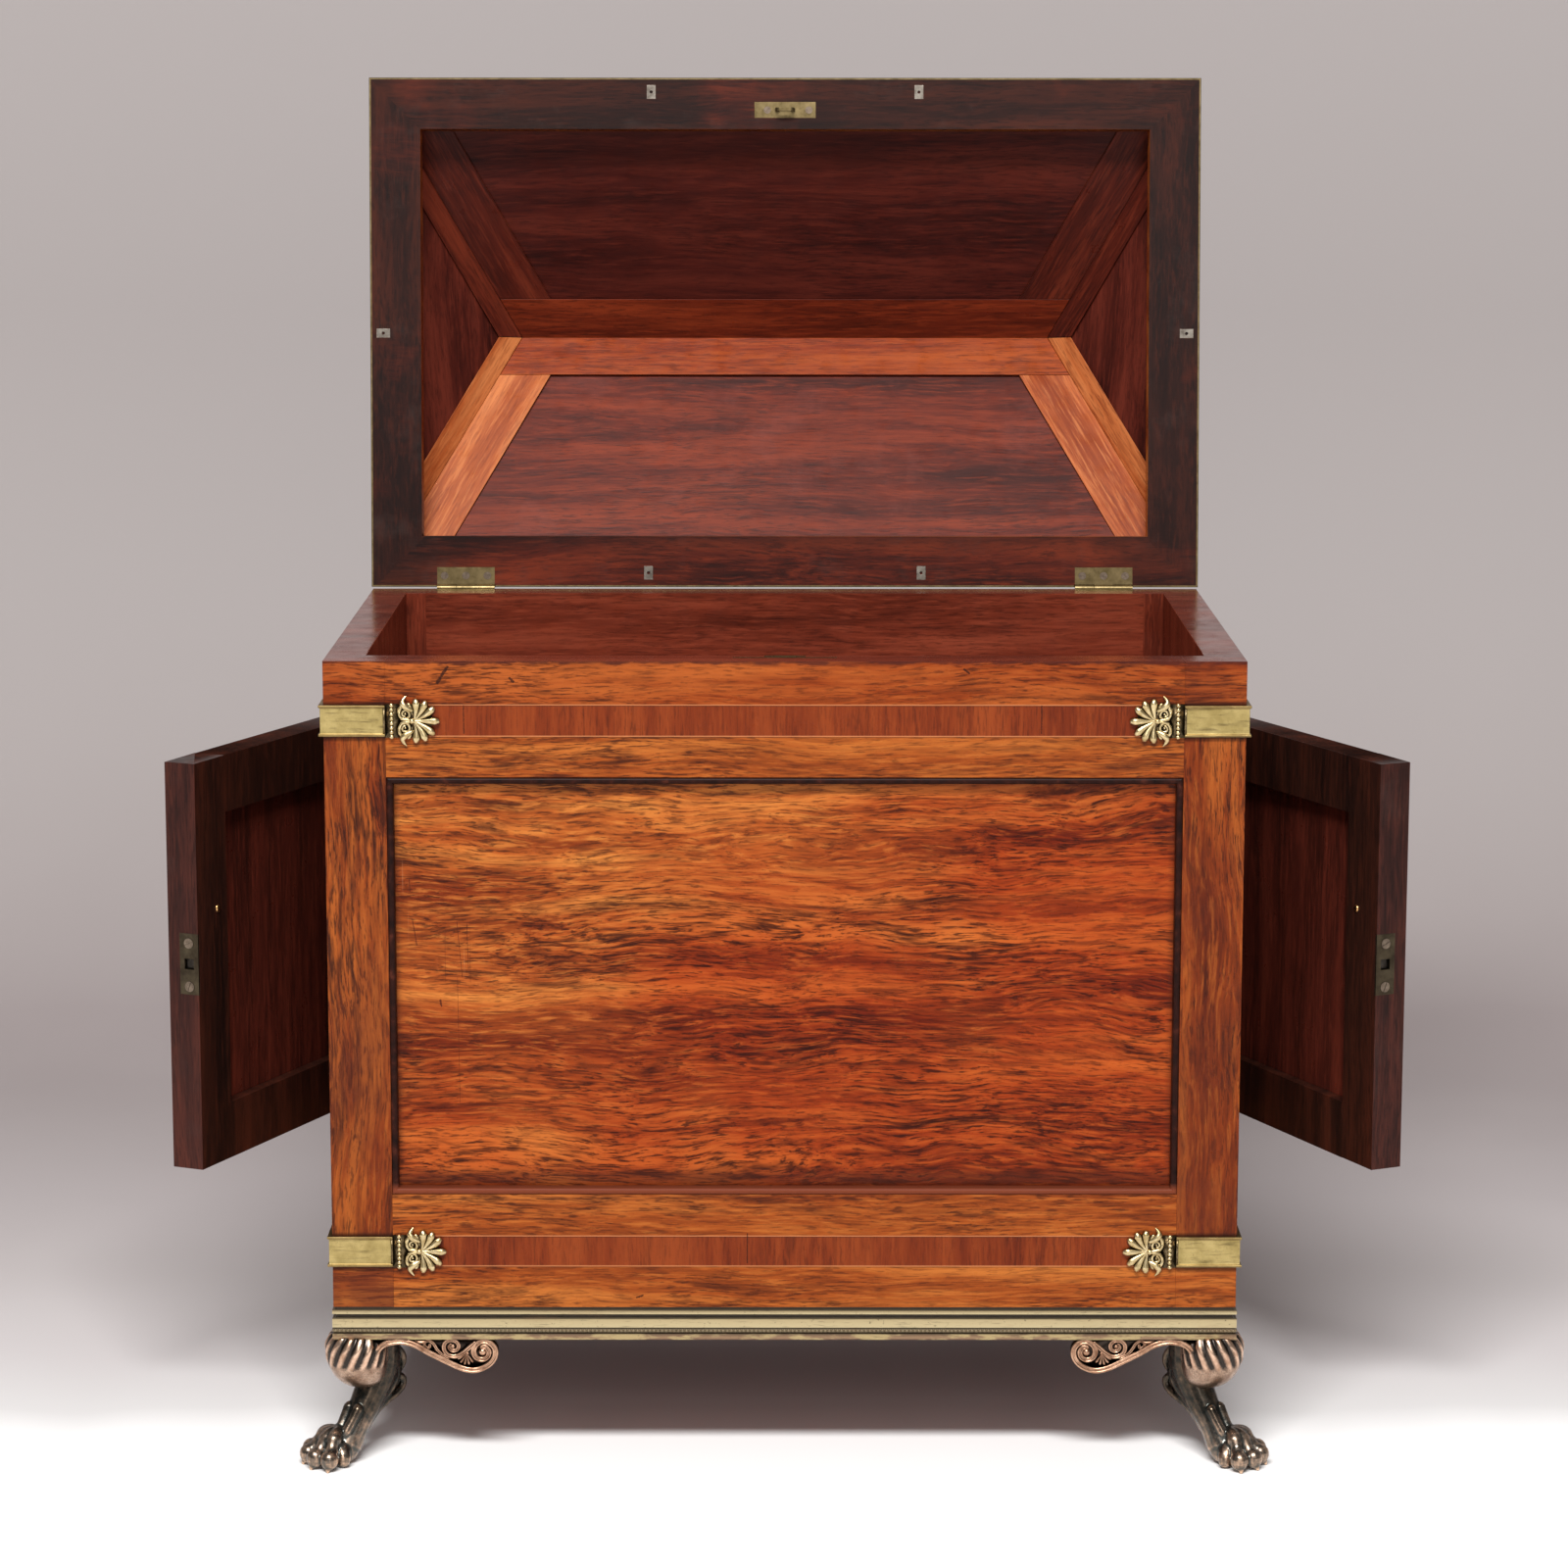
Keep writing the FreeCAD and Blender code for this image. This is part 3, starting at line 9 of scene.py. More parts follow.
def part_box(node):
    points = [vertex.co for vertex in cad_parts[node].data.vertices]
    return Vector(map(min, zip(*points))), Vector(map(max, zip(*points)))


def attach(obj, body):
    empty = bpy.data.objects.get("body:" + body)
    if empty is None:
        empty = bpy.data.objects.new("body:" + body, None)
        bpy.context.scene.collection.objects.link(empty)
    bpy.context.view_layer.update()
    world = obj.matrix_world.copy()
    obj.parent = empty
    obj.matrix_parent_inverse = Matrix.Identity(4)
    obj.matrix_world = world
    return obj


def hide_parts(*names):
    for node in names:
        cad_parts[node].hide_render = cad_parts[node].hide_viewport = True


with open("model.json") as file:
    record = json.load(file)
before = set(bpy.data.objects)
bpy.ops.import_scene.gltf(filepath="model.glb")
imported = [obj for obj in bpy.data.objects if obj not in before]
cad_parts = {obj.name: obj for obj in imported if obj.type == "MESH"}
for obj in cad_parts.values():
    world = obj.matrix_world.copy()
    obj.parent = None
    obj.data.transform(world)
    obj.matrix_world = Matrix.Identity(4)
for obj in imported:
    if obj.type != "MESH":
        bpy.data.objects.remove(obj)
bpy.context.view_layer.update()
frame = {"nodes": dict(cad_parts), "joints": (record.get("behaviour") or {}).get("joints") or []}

# The looks of the cellarette: woods, metals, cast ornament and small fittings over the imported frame.
# The scene is in metres, in the row frame. Named sizes and the points of a Shape are in millimetres,
# and places inside a material are in metres.

MM = 0.001
HANDS = {"left": -1, "right": 1}
ENDS = {"front": -1, "back": 1}
CORNERS = [(end, hand) for end in ENDS for hand in HANDS]
UP = Vector((0, 0, 1))


# ---- places taken from the frame

LOW, HIGH = 0, 1
X, Y, Z = 0, 1, 2


def limit(node, side, axis):
    """The lowest or highest place of a CAD node along one axis."""
    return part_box(node)[side][axis] / MM


HALF_WIDTH = limit("front_right_post", HIGH, X)
FRONT = limit("front_right_post", LOW, Y)
BACK = limit("back_right_post", HIGH, Y)
RIM_TOP = limit("front_right_post", HIGH, Z)
PLINTH_TOP = limit("front_right_post", LOW, Z)
PLINTH_FOOT = limit("base_moulding", LOW, Z)
SILL = limit("front_bottom_rail", HIGH, Z)
MIDDLE_Y = (FRONT + BACK) / 2
HALF_DEPTH = (BACK - FRONT) / 2
STRAP_PROUD = limit("upper_corner_straps", HIGH, X) - HALF_WIDTH
BAND_HEIGHT = 25
BAND_REACH = 49
STRAP_MIDDLE = {kind: (limit(f"{kind}_corner_straps", LOW, Z) + limit(f"{kind}_corner_straps", HIGH, Z)) / 2
                for kind in ("upper", "lower")}
# Low and high edge of the crossbanded strips, which run between the straps of one row.
UPPER_BAND, LOWER_BAND = ((middle - BAND_HEIGHT / 2, middle + BAND_HEIGHT / 2)
                          for middle in STRAP_MIDDLE.values())

JOINTS = {joint["name"]: joint for joint in frame["joints"]}


def to_rest(joint_name, shut_angle, axis):
    """The 4x4 that brings the shut lid or door, in millimetres, to where it stands at rest."""
    pivot = Vector(JOINTS[joint_name]["pos_m"]) / MM
    turn = Matrix.Rotation(-math.radians(shut_angle), 4, axis)
    return Matrix.Translation(pivot) @ turn @ Matrix.Translation(-pivot)


def door_to_rest(hand):
    joint = JOINTS[f"{hand}_door_hinge"]
    return to_rest(f"{hand}_door_hinge", joint["range_deg"][0] * joint["axis"][Z], "Z")


LID_TO_REST = to_rest("lid_hinge", JOINTS["lid_hinge"]["range_deg"][1], "X")


def closed_box(node, matrix):
    """Lowest and highest corner of a node when its lid or door is shut."""
    back = matrix.inverted()
    points = [back @ (vertex.co / MM) for vertex in frame["nodes"][node].data.vertices]
    return [Vector(pick(point[axis] for point in points) for axis in (X, Y, Z)) for pick in (min, max)]


# ---- small helpers

def given(thing, **settings):
    """The thing, with its attributes set."""
    for name, value in settings.items():
        setattr(thing, name, value)
    return thing


def add_object(name, data, **settings):
    made = bpy.data.objects.new(name, data)
    bpy.context.scene.collection.objects.link(made)
    return given(made, **settings)


def new_mesh(name, points, faces, material, smooth=True):
    mesh = bpy.data.meshes.new(name)
    mesh.from_pydata(points, [], faces)
    mesh.materials.append(material)
    mesh.polygons.foreach_set("use_smooth", [smooth] * len(mesh.polygons))
    return mesh


def axes(x, y, z, origin=(0, 0, 0)):
    """The 4x4 that takes a shape's own three directions to the given ones."""
    return Matrix((*zip(x, y, z, origin), (0, 0, 0, 1)))


def round_about(centre, radius, degrees):
    """The flat place at a radius and an angle from a centre."""
    angle = math.radians(degrees)
    return (centre[0] + radius * math.cos(angle), centre[1] + radius * math.sin(angle))


# ---- colours and node graphs

def tone(value):
    """A colour as it looks on a screen, three numbers to 255, turned to linear RGBA. Other values pass."""
    if not isinstance(value, tuple) or len(value) != 3:
        return value
    shares = [part / 255 for part in value]
    return (*(s / 12.92 if s <= 0.04045 else ((s + 0.055) / 1.055) ** 2.4 for s in shares), 1.0)


def arithmetic(operation):
    """A method that stands for one sign of arithmetic between values."""
    return lambda value, other=0.0: value.math(operation, other)


class Value:
    """A number, place or colour that varies over a surface: one socket, with its graph's arithmetic."""

    def __init__(self, graph, socket):
        self.graph = graph
        self.socket = socket

    def math(self, operation, other=0.0, clamp=False):
        return self.graph.math(operation, self, other, clamp)

    def __rsub__(self, other):
        return self.graph.math("SUBTRACT", other, self)

    __add__, __sub__, __mul__ = arithmetic("ADD"), arithmetic("SUBTRACT"), arithmetic("MULTIPLY")
    __gt__, __lt__, __abs__ = arithmetic("GREATER_THAN"), arithmetic("LESS_THAN"), arithmetic("ABSOLUTE")

    def within(self, low, high):
        """1 between two places in millimetres and 0 outside."""
        return (self > low * MM) * (self < high * MM)

    def fade(self, low, high, end=1.0, start=0.0):
        """Goes from start to end while the value goes from low to high."""
        values = {"Value": self, "From Min": low, "From Max": high, "To Min": start, "To Max": end}
        return self.graph.made("ShaderNodeMapRange", values, "Result", clamp=True)

    def ramp(self, *stops):
        """Colours at places along the value, blended between them."""
        result = self.graph.made("ShaderNodeValToRGB", {"Fac": self}, "Color")
        elements = result.socket.node.color_ramp.elements
        elements.remove(elements[1])
        for index, (position, colour) in enumerate(stops):
            element = elements.new(position) if index else elements[0]
            element.position, element.color = position, tone(colour)
        return result

    def toward(self, other, share=1.0, blend="MIX"):
        """This colour mixed with another one."""
        return self.graph.mix(share, self, other, blend)


class Graph:
    """A material's node tree, built by short calls. An argument may be a Value or a constant."""

    def __init__(self, name):
        self.material = bpy.data.materials.new(name)
        self.material.use_nodes = True
        self.tree = self.material.node_tree
        self.tree.nodes.clear()
        self.place = self.made("ShaderNodeTexCoord", {}, "Object")

    def feed(self, socket, value):
        if isinstance(value, Value):
            self.tree.links.new(value.socket, socket)
        else:
            socket.default_value = value

    def made(self, kind, values, result, **settings):
        """Makes a node, feeds its inputs, each given by name or number, and returns one output."""
        node = given(self.tree.nodes.new(kind), **settings)
        for key, value in values.items():
            self.feed(node.inputs[key], value)
        return Value(self, node.outputs[result])

    def math(self, operation, first, second=0.0, clamp=False):
        return self.made("ShaderNodeMath", {0: first, 1: second}, 0, operation=operation, use_clamp=clamp)

    def vectors(self, operation, first, second):
        return self.made("ShaderNodeVectorMath", {0: first, 1: second}, 0, operation=operation)

    def axis(self, letter, place=None):
        return self.made("ShaderNodeSeparateXYZ", {0: place or self.place}, letter)

    def mapped(self, place, shift=(0, 0, 0), turn=(0, 0, 0), scale=(1, 1, 1)):
        values = {"Vector": place, "Location": shift, "Rotation": turn, "Scale": scale}
        return self.made("ShaderNodeMapping", values, 0)

    def noise(self, scale, detail=2.0, rough=0.5, bend=0.0, place=None, result="Fac"):
        """Noise with one scale, or with three where it is stretched."""
        place = place or self.place
        if isinstance(scale, tuple):
            place, scale = self.mapped(place, scale=scale), 1.0
        values = {"Vector": place, "Scale": scale, "Detail": detail, "Roughness": rough, "Distortion": bend}
        return self.made("ShaderNodeTexNoise", values, result)

    def mix(self, factor, first, second, blend="MIX"):
        return self.made("ShaderNodeMix", {0: factor, 6: tone(first), 7: tone(second)}, 2, data_type="RGBA",
                         blend_type=blend, clamp_factor=True)

    def bump(self, height, strength, distance):
        return self.made("ShaderNodeBump", {"Strength": strength, "Distance": distance, "Height": height}, 0)

    def finish(self, colour, roughness, bump=None, clear_behind=False, **constants):
        """Ends the graph in a Principled shader, clear on back faces if asked, and returns the material."""
        values = {"Base Color": colour, "Roughness": roughness}
        values.update({name.replace("_", " "): value for name, value in constants.items()})
        if bump:
            values["Normal"] = bump
        surface = self.made("ShaderNodeBsdfPrincipled", values, 0)
        if clear_behind:
            behind = self.made("ShaderNodeNewGeometry", {}, "Backfacing")
            clear = self.made("ShaderNodeBsdfTransparent", {}, 0)
            surface = self.made("ShaderNodeMixShader", {0: behind, 1: surface, 2: clear}, 0)
        self.feed(self.tree.nodes.new("ShaderNodeOutputMaterial").inputs[0], surface)
        return self.material

    def varnished(self, colour, height, rough=0.3, gloss=0.1, relief=0.25):
        """Ends a wood: unevenly polished, with its pores standing in the varnish."""
        roughness = self.noise(60, 3).fade(0.3, 0.7, rough + 0.08, rough - 0.06)
        return self.finish(colour, roughness, self.bump(height, relief, 0.0002), Specular_IOR_Level=gloss)


# ---- woods

GRAIN_X = (0, 0, 0)
GRAIN_Y = (0, 0, math.radians(-90))
GRAIN_Z = (0, math.radians(90), 0)

Wood = namedtuple("Wood", "dark middle light line")
VENEER = Wood((106, 40, 11), (147, 69, 22), (180, 102, 42), (50, 18, 9))
PANEL_VENEER = Wood((120, 48, 13), (166, 84, 31), (204, 128, 58), (48, 18, 9))
POST_VENEER = Wood((84, 28, 9), (122, 50, 15), (160, 84, 32), (38, 14, 9))
CROSS_VENEER = Wood((102, 37, 14), (118, 47, 18), (134, 59, 24), (58, 20, 10))
LID_RED = Wood((60, 19, 12), (94, 32, 18), (128, 50, 26), (30, 12, 10))
# Painted shade: the lid's front panel, front ridge rail and front hip stile woods are darker copies, for the
# slope that faces down when the lid stands open.
LID_FRONT = Wood((44, 13, 10), (66, 22, 16), (86, 33, 23), (24, 9, 8))
LID_END = Wood((48, 16, 12), (76, 28, 20), (102, 42, 30), (26, 10, 9))
RIDGE_WOOD_PAINTED_SHADE = Wood((66, 20, 9), (94, 31, 14), (124, 48, 23), (36, 12, 8))
# Painted light: the back ridge rail and back hip stile woods are lighter copies, for the slope that faces up
# when the lid stands open.
RIDGE_WOOD_PAINTED_LIGHT = Wood((98, 32, 10), (130, 48, 16), (158, 72, 28), (66, 22, 12))
HIP_WOOD_PAINTED_LIGHT = Wood((136, 58, 24), (172, 88, 44), (204, 124, 72), (92, 36, 20))
HIP_WOOD_PAINTED_SHADE = Wood((54, 17, 11), (78, 27, 17), (104, 42, 26), (30, 11, 9))
WELL_RED = Wood((84, 32, 20), (110, 45, 29), (132, 60, 40), (46, 17, 12))
RIM_BROWN = Wood((28, 13, 10), (42, 19, 14), (64, 28, 18), (17, 11, 10))
DOOR_DARK = Wood((34, 18, 14), (50, 25, 18), (72, 34, 23), (22, 13, 11))
# Partly painted reflection: the door panels' redder mahogany stands for the red of the case's side mirrored
# in the open doors.
DOOR_RED_AND_PAINTED_REFLECTION = Wood((56, 24, 18), (84, 34, 25), (112, 48, 34), (34, 16, 13))
DOOR_RIM = Wood((36, 18, 15), (54, 26, 21), (78, 38, 29), (24, 13, 11))


def grain(graph, wood, turn, wave, figure, shift=0.0):
    """Bands, dark flames, veins, streaks and pore ticks along one direction.
    Returns the colour and the height that the pores and streaks leave in the surface."""
    straight = graph.mapped(graph.place, shift=(shift, shift, shift), turn=turn)
    slow = graph.noise((3.5, 9, 9), 3, 0.55, place=straight, result="Color")
    sway = graph.vectors("MULTIPLY", graph.vectors("SUBTRACT", slow, (0.5, 0.5, 0.5)), (0.0, wave, wave))
    bent = graph.vectors("ADD", straight, sway)

    def layer(scale, detail, rough, bend=0.0):
        return graph.noise(scale, detail, rough, bend, place=bent)

    colour = layer((2.4, 34, 34), 5, 0.62).ramp((0.34, wood.dark), (0.5, wood.middle), (0.66, wood.light))
    cluster = layer((5, 15, 15), 3, 0.5).fade(0.4, 0.62, start=0.35)
    flames = layer((7, 62, 62), 6, 0.68, 0.2).fade(0.51, 0.69, 0.95 * figure)
    colour = colour.toward(wood.line, flames * cluster)
    off_vein = abs(layer((2.2, 26, 26), 5, 0.6, 0.2) - 0.5)
    colour = colour.toward(wood.line, off_vein.fade(0.02, 0.003, 0.7 * figure) * cluster)
    streaks = layer((24, 330, 330), 4, 0.62)
    streak = streaks.fade(0.5, 0.64, 0.3 + 0.58 * figure) * cluster
    colour = colour.toward(wood.line, streak).toward(wood.light, streaks.fade(0.48, 0.34, 0.55))
    pore = layer((62, 620, 620), 3, 0.6).fade(0.53, 0.62, 0.35 + 0.48 * figure)
    pore = pore * cluster.math("ADD", 0.25, clamp=True)
    return colour.toward(wood.line, pore), streak * -0.5 + pore * -0.5


def plain_wood(name, wood, turn, wave=0.02, figure=0.35, rough=0.32, gloss=0.12, shift=0.0, worn=None):
    """One wood with its grain in one direction, in places worn to another colour."""
    graph = Graph(name)
    colour, height = grain(graph, wood, turn, wave, figure, shift)
    if worn:
        colour = colour.toward(worn, graph.noise(14, 5, 0.65).fade(0.55, 0.75, 0.45))
    return graph.varnished(colour, height, rough, gloss)


# Scratches in the front panel, and dents and joints in the front rails: (x, z) of both ends and the width.
SCRATCHES = [
    ((-299.5, 484), (-299, 474), 0.8), ((-297.5, 452), (-294, 430), 0.8), ((-262, 450), (-258, 404), 0.5),
    ((-254, 448), (-253, 410), 0.5), ((-262, 404), (-261, 300), 0.35), ((-276, 386), (-275, 380), 1.6)]
DENTS = [
    ((-275, 643), (-266, 657), 2.6), ((-218, 648), (-214, 644), 2.0), ((-254, 603), (-254, 626), 0.9),
    ((203, 603), (203, 626), 0.8), ((-30, 170), (-30, 195), 0.8), ((141, 655), (146, 651), 1.6),
    ((-120, 141), (-114, 143), 1.6)]


def stroke(graph, colour, start, end, width, dark):
    """A short dark mark in the front face, drawn between two (x, z) places."""
    along = Vector((end[0] - start[0], 0, end[1] - start[1]))
    centre = Vector(((start[0] + end[0]) / 2, 0, (start[1] + end[1]) / 2)) * MM
    local = graph.vectors("SUBTRACT", graph.place, tuple(centre))
    turned = graph.mapped(local, turn=(0, math.atan2(along.z, along.x), 0))
    ragged = graph.noise(900).fade(0.3, 0.7, 1.3, 0.5)
    inside = (abs(graph.axis("X", turned)) < along.length / 2 * MM) \
        * (abs(graph.axis("Z", turned)) < ragged * (width / 2 * MM))
    return colour.toward(dark, inside * 0.85)


def scratched(graph, colour):
    """Thin upright scratches and pale rubs in the panel's upper left part."""
    leaning = graph.mapped(graph.place, turn=(0, math.radians(-7), 0), scale=(420, 420, 9))
    lines = graph.noise(1.0, place=leaning)
    place = graph.axis("X").within(-310, -250) * graph.axis("Z").within(400, 500)
    colour = colour.toward((226, 168, 120), lines.fade(0.68, 0.78, 0.2) * place)
    colour = colour.toward((60, 24, 14), lines.fade(0.34, 0.28, 0.5) * place)
    for scratch in SCRATCHES:
        colour = stroke(graph, colour, *scratch, (70, 26, 12))
    return colour


def rail_grain(graph, along):
    """The veneer that runs on over rails and posts, darker in the top bar and chipped at the rim."""
    colour, height = grain(graph, VENEER, along, 0.03, 0.8)
    level = graph.axis("Z")
    top = (level > UPPER_BAND[HIGH] * MM) * 0.8
    colour = colour.toward(colour.toward((222, 190, 190), blend="MULTIPLY"), top)
    chips = graph.noise((60, 60, 200), 4, 0.6).fade(0.35, 0.65, 0.0015, -0.0015)
    edge = (level + chips).fade((RIM_TOP - 3.2) * MM, (RIM_TOP - 1.0) * MM, 0.8)
    return colour.toward((62, 24, 20), edge), height


def banded_rail(name, along, band):
    """Rail veneer with a crossbanded strip: short grain between thin pale strings."""
    graph = Graph(name)
    colour, height = rail_grain(graph, along)
    cross, _ = grain(graph, CROSS_VENEER, GRAIN_Z, 0.006, 0.15)
    level = graph.axis("Z")
    colour = colour.toward(cross, level.within(*band))
    for edge in band:
        colour = colour.toward((196, 128, 84), level.within(edge - 0.5, edge + 0.5) * 0.55)
        colour = colour.toward(VENEER.line, level.within(edge - 1.3, edge - 0.5) * 0.45)
    for dent in DENTS:
        colour = stroke(graph, colour, *dent, (40, 16, 10))
    return graph.varnished(colour, height)


def post_veneer(name, along):
    """Post veneer: upright stained grain between the straps and rail veneer above and below them, with
    painted shade in a dark line along each strap's edges.
    """
    graph = Graph(name)
    colour, height = grain(graph, POST_VENEER, GRAIN_Z, 0.045, 0.85)
    level = graph.axis("Z")
    colour = colour.toward(rail_grain(graph, along)[0], 1.0 - level.within(LOWER_BAND[LOW], UPPER_BAND[HIGH]))
    clouds = graph.noise(11, 4, 0.6).fade(0.45, 0.66, 0.7)
    colour = colour.toward((84, 33, 18), level.fade(0.5, 0.22, start=0.45) * clouds)
    # Painted shade: a dark line on the post veneer along the upper and lower edge of each strap.
    for edge in (*UPPER_BAND, *LOWER_BAND):
        colour = colour.toward((38, 18, 12), abs(level - edge * MM).fade(0.0034, 0.0008, 0.8))
    return graph.varnished(colour, height)


# Where the front panel's flat ends, against its beads: half its width, and its lower and upper edge.
FLAT_HALF, FLAT_LOW, FLAT_HIGH = 0.314, 0.240, 0.566


def figured_panel(name, turn):
    """The flamed panel: paler to the upper left, darker to the lower right, and with painted shade along its
    edges where it sinks behind the beads.
    """
    graph = Graph(name)
    colour, height = grain(graph, PANEL_VENEER, turn, 0.055, 1.0)
    level = graph.axis("Z")
    depth = graph.axis("X").fade(-0.3, 0.3) + level.fade(0.55, 0.25, 0.6)
    depth = depth.math("ADD", graph.noise(5, 3).fade(0.35, 0.65, 0.35, -0.35), clamp=True)
    colour = colour.toward(colour.toward((218, 162, 140), blend="MULTIPLY"), depth)
    across = abs(graph.axis("X"))
    inset = (FLAT_HALF - across).math("MINIMUM", (FLAT_HIGH - level).math("MINIMUM", level - FLAT_LOW))
    # Painted shade: the flat darkens within 9 mm of its edges against the beads.
    colour = colour.toward((66, 26, 13), inset.fade(0.009, 0.001, 0.6) * across.fade(0.34, 0.33))
    return graph.varnished(scratched(graph, colour), height, relief=0.3)


def rim_wood(name):
    """The lid's flat rim: grain along each bar up to the mitres, nearly black, redder near the hinges."""
    graph = Graph(name)
    flat, height = grain(graph, RIM_BROWN, GRAIN_X, 0.02, 0.4)
    upright, _ = grain(graph, RIM_BROWN, GRAIN_Z, 0.02, 0.4)
    red, _ = grain(graph, LID_RED, GRAIN_X, 0.04, 0.5)
    level = graph.axis("Z")
    side = HALF_WIDTH * MM - abs(graph.axis("X"))
    foot = level - RIM_TOP * MM
    nearest = foot.math("MINIMUM", (RIM_TOP + 2 * HALF_DEPTH) * MM - level)
    patches = graph.noise(11, 4, 0.6)
    warmth = foot.fade(0.055, 0.03, 0.75) * side.fade(0.02, 0.12)
    warmth = warmth.math("ADD", patches.fade(0.56, 0.72, 0.35), clamp=True)
    colour = flat.toward(upright, side < nearest).toward(red, warmth)
    colour = colour.toward((66, 52, 48), graph.noise(23, 5, 0.7).fade(0.55, 0.75, 0.3))
    return graph.finish(colour, patches.fade(0.3, 0.7, 0.42, 0.3), graph.bump(height, 0.25, 0.0002),
                        Specular_IOR_Level=0.14)


def ebony(name):
    """Ebonised wood, paler red-brown where it meets the sill."""
    graph = Graph(name)
    mottle = graph.noise((90, 90, 90), 4, 0.6)
    colour = mottle.ramp((0.35, (24, 12, 10)), (0.58, (44, 20, 15)), (0.8, (86, 42, 30)))
    colour = colour.toward((126, 62, 40), graph.axis("Z").fade((SILL + 10) * MM, (SILL + 4) * MM) * 0.8)
    return graph.finish(colour, mottle.fade(0.3, 0.7, 0.4, 0.26), graph.bump(mottle, 0.15, 0.0002),
                        Specular_IOR_Level=0.06)


# ---- metals

def metal(name, bright, dull, deep, rough, spots, rubbed=False, recess=2.5, brushed=0.0):
    """Aged metal: dull patches, dark recesses, brush streaks, and where it is rubbed, bright crests."""
    graph = Graph(name)
    patches = graph.noise(spots, 6, 0.65)
    fine = graph.noise(spots * 7, 4, 0.6)
    colour = graph.mix(patches.fade(0.35, 0.65), bright, dull)
    if rubbed:
        rub = graph.made("ShaderNodeAttribute", {}, "Fac", attribute_name="rub")
        worn = (rub + fine.fade(0.3, 0.7, 0.15, -0.15)).fade(0.15, 0.85)
        colour = graph.mix(worn, deep, colour)
    hollow = graph.made("ShaderNodeAmbientOcclusion", {"Distance": recess * MM}, "AO", samples=6)
    colour = colour.toward(deep, hollow.fade(0.85, 0.35) * 0.8).toward(deep, fine.fade(0.6, 0.8, 0.5))
    if brushed:
        colour = colour.toward(deep, graph.noise((34, 34, 330), 5, 0.62).fade(0.53, 0.72, brushed))
        for edge in (*UPPER_BAND, *LOWER_BAND):
            off = abs(graph.axis("Z") - edge * MM)
            colour = colour.toward((96, 66, 44), off.fade(0.0032, 0.0016, 0.5))
    roughness = patches.fade(0.3, 0.7, rough + 0.1, rough - 0.06)
    return graph.finish(colour, roughness, graph.bump(fine, 0.2, 0.0001), Metallic=1.0)


def moulding_brass(name):
    """The base moulding's brass: bright fillets and band, dark cove, quirk and pearl bed, and a painted
    highlight in yellowish patches on the bottom fillet.
    """
    graph = Graph(name)
    height = (graph.axis("Z") - PLINTH_FOOT * MM).math("DIVIDE", (PLINTH_TOP - PLINTH_FOOT) * MM)
    dark, middle, bright = (56, 46, 33), (146, 128, 94), (190, 174, 134)
    colour = height.ramp(
        (0.0, (96, 72, 54)), (0.06, (146, 116, 88)), (0.16, (104, 82, 60)), (0.19, dark),
        (0.28, (132, 116, 88)), (0.36, dark), (0.39, bright), (0.62, (176, 158, 118)), (0.66, dark),
        (0.77, dark), (0.8, bright), (0.89, middle), (0.91, dark))
    patches = graph.noise((12, 12, 60), 6, 0.65)
    fine = graph.noise((60, 60, 700), 4, 0.6)
    # Painted highlight: yellowish patches on the bottom fillet.
    fillet_painted_highlight = height.fade(0.19, 0.15) * graph.noise((34, 34, 120), 4, 0.6).fade(0.47, 0.56, 0.75)
    colour = colour.toward((128, 96, 66), patches.fade(0.56, 0.76, 0.4)).toward((182, 162, 114), fillet_painted_highlight)
    colour = colour.toward(dark, fine.fade(0.58, 0.76, 0.6))
    colour = colour.toward((58, 44, 30), graph.noise(420, 3, 0.6).fade(0.64, 0.76, 0.8))
    roughness = patches.fade(0.3, 0.7, 0.46, 0.32)
    return graph.finish(colour, roughness, graph.bump(fine, 0.2, 0.0001), Metallic=0.35)


def cast_bronze(name, bright, middle, deep, rough):
    """Dark patinated bronze whose raised edges turn copper, found from the surface's own form: partly rubbed
    wear and partly a painted highlight.
    """
    graph = Graph(name)
    patches = graph.noise(140, 5, 0.6)
    crest = graph.made("ShaderNodeNewGeometry", {}, "Pointiness") + patches.fade(0.3, 0.7, 0.02, -0.02)
    # The copper on the crests is partly rubbed wear and partly a painted highlight.
    colour = graph.mix(crest.fade(0.49, 0.53), deep, middle).toward(bright, crest.fade(0.515, 0.565))
    colour = colour.toward((150, 152, 150), graph.axis("Z").fade(0.026, 0.042), "MULTIPLY")
    roughness = patches.fade(0.3, 0.7, rough + 0.12, rough - 0.05)
    return graph.finish(colour, roughness, graph.bump(patches, 0.25, 0.0002), Metallic=0.9)


# ---- material list

TOP_RAIL = {"x": banded_rail("top rail veneer", GRAIN_X, UPPER_BAND),
            "y": banded_rail("side top rail veneer", GRAIN_Y, UPPER_BAND)}
BOTTOM_RAIL = {"x": banded_rail("bottom rail veneer", GRAIN_X, LOWER_BAND),
               "y": banded_rail("side bottom rail veneer", GRAIN_Y, LOWER_BAND)}
VENEER_POST = post_veneer("post veneer", GRAIN_X)
VENEER_POST_SIDE = post_veneer("post side veneer", GRAIN_Y)
VENEER_FLAT = plain_wood("frame veneer along x", VENEER, GRAIN_X, figure=0.4)
FIGURED = figured_panel("flamed panel veneer", GRAIN_X)
LID_VENEER = plain_wood("lid veneer", VENEER, GRAIN_X, wave=0.05, figure=0.5)
EBONY = ebony("ebonised bead")
LID_RIM = rim_wood("lid rim mahogany")
WELL = plain_wood("inside mahogany", WELL_RED, GRAIN_X, 0.015, 0.2, rough=0.28)
WELL_UP = plain_wood("inside mahogany upright", WELL_RED, GRAIN_Z, 0.015, 0.2, rough=0.3)
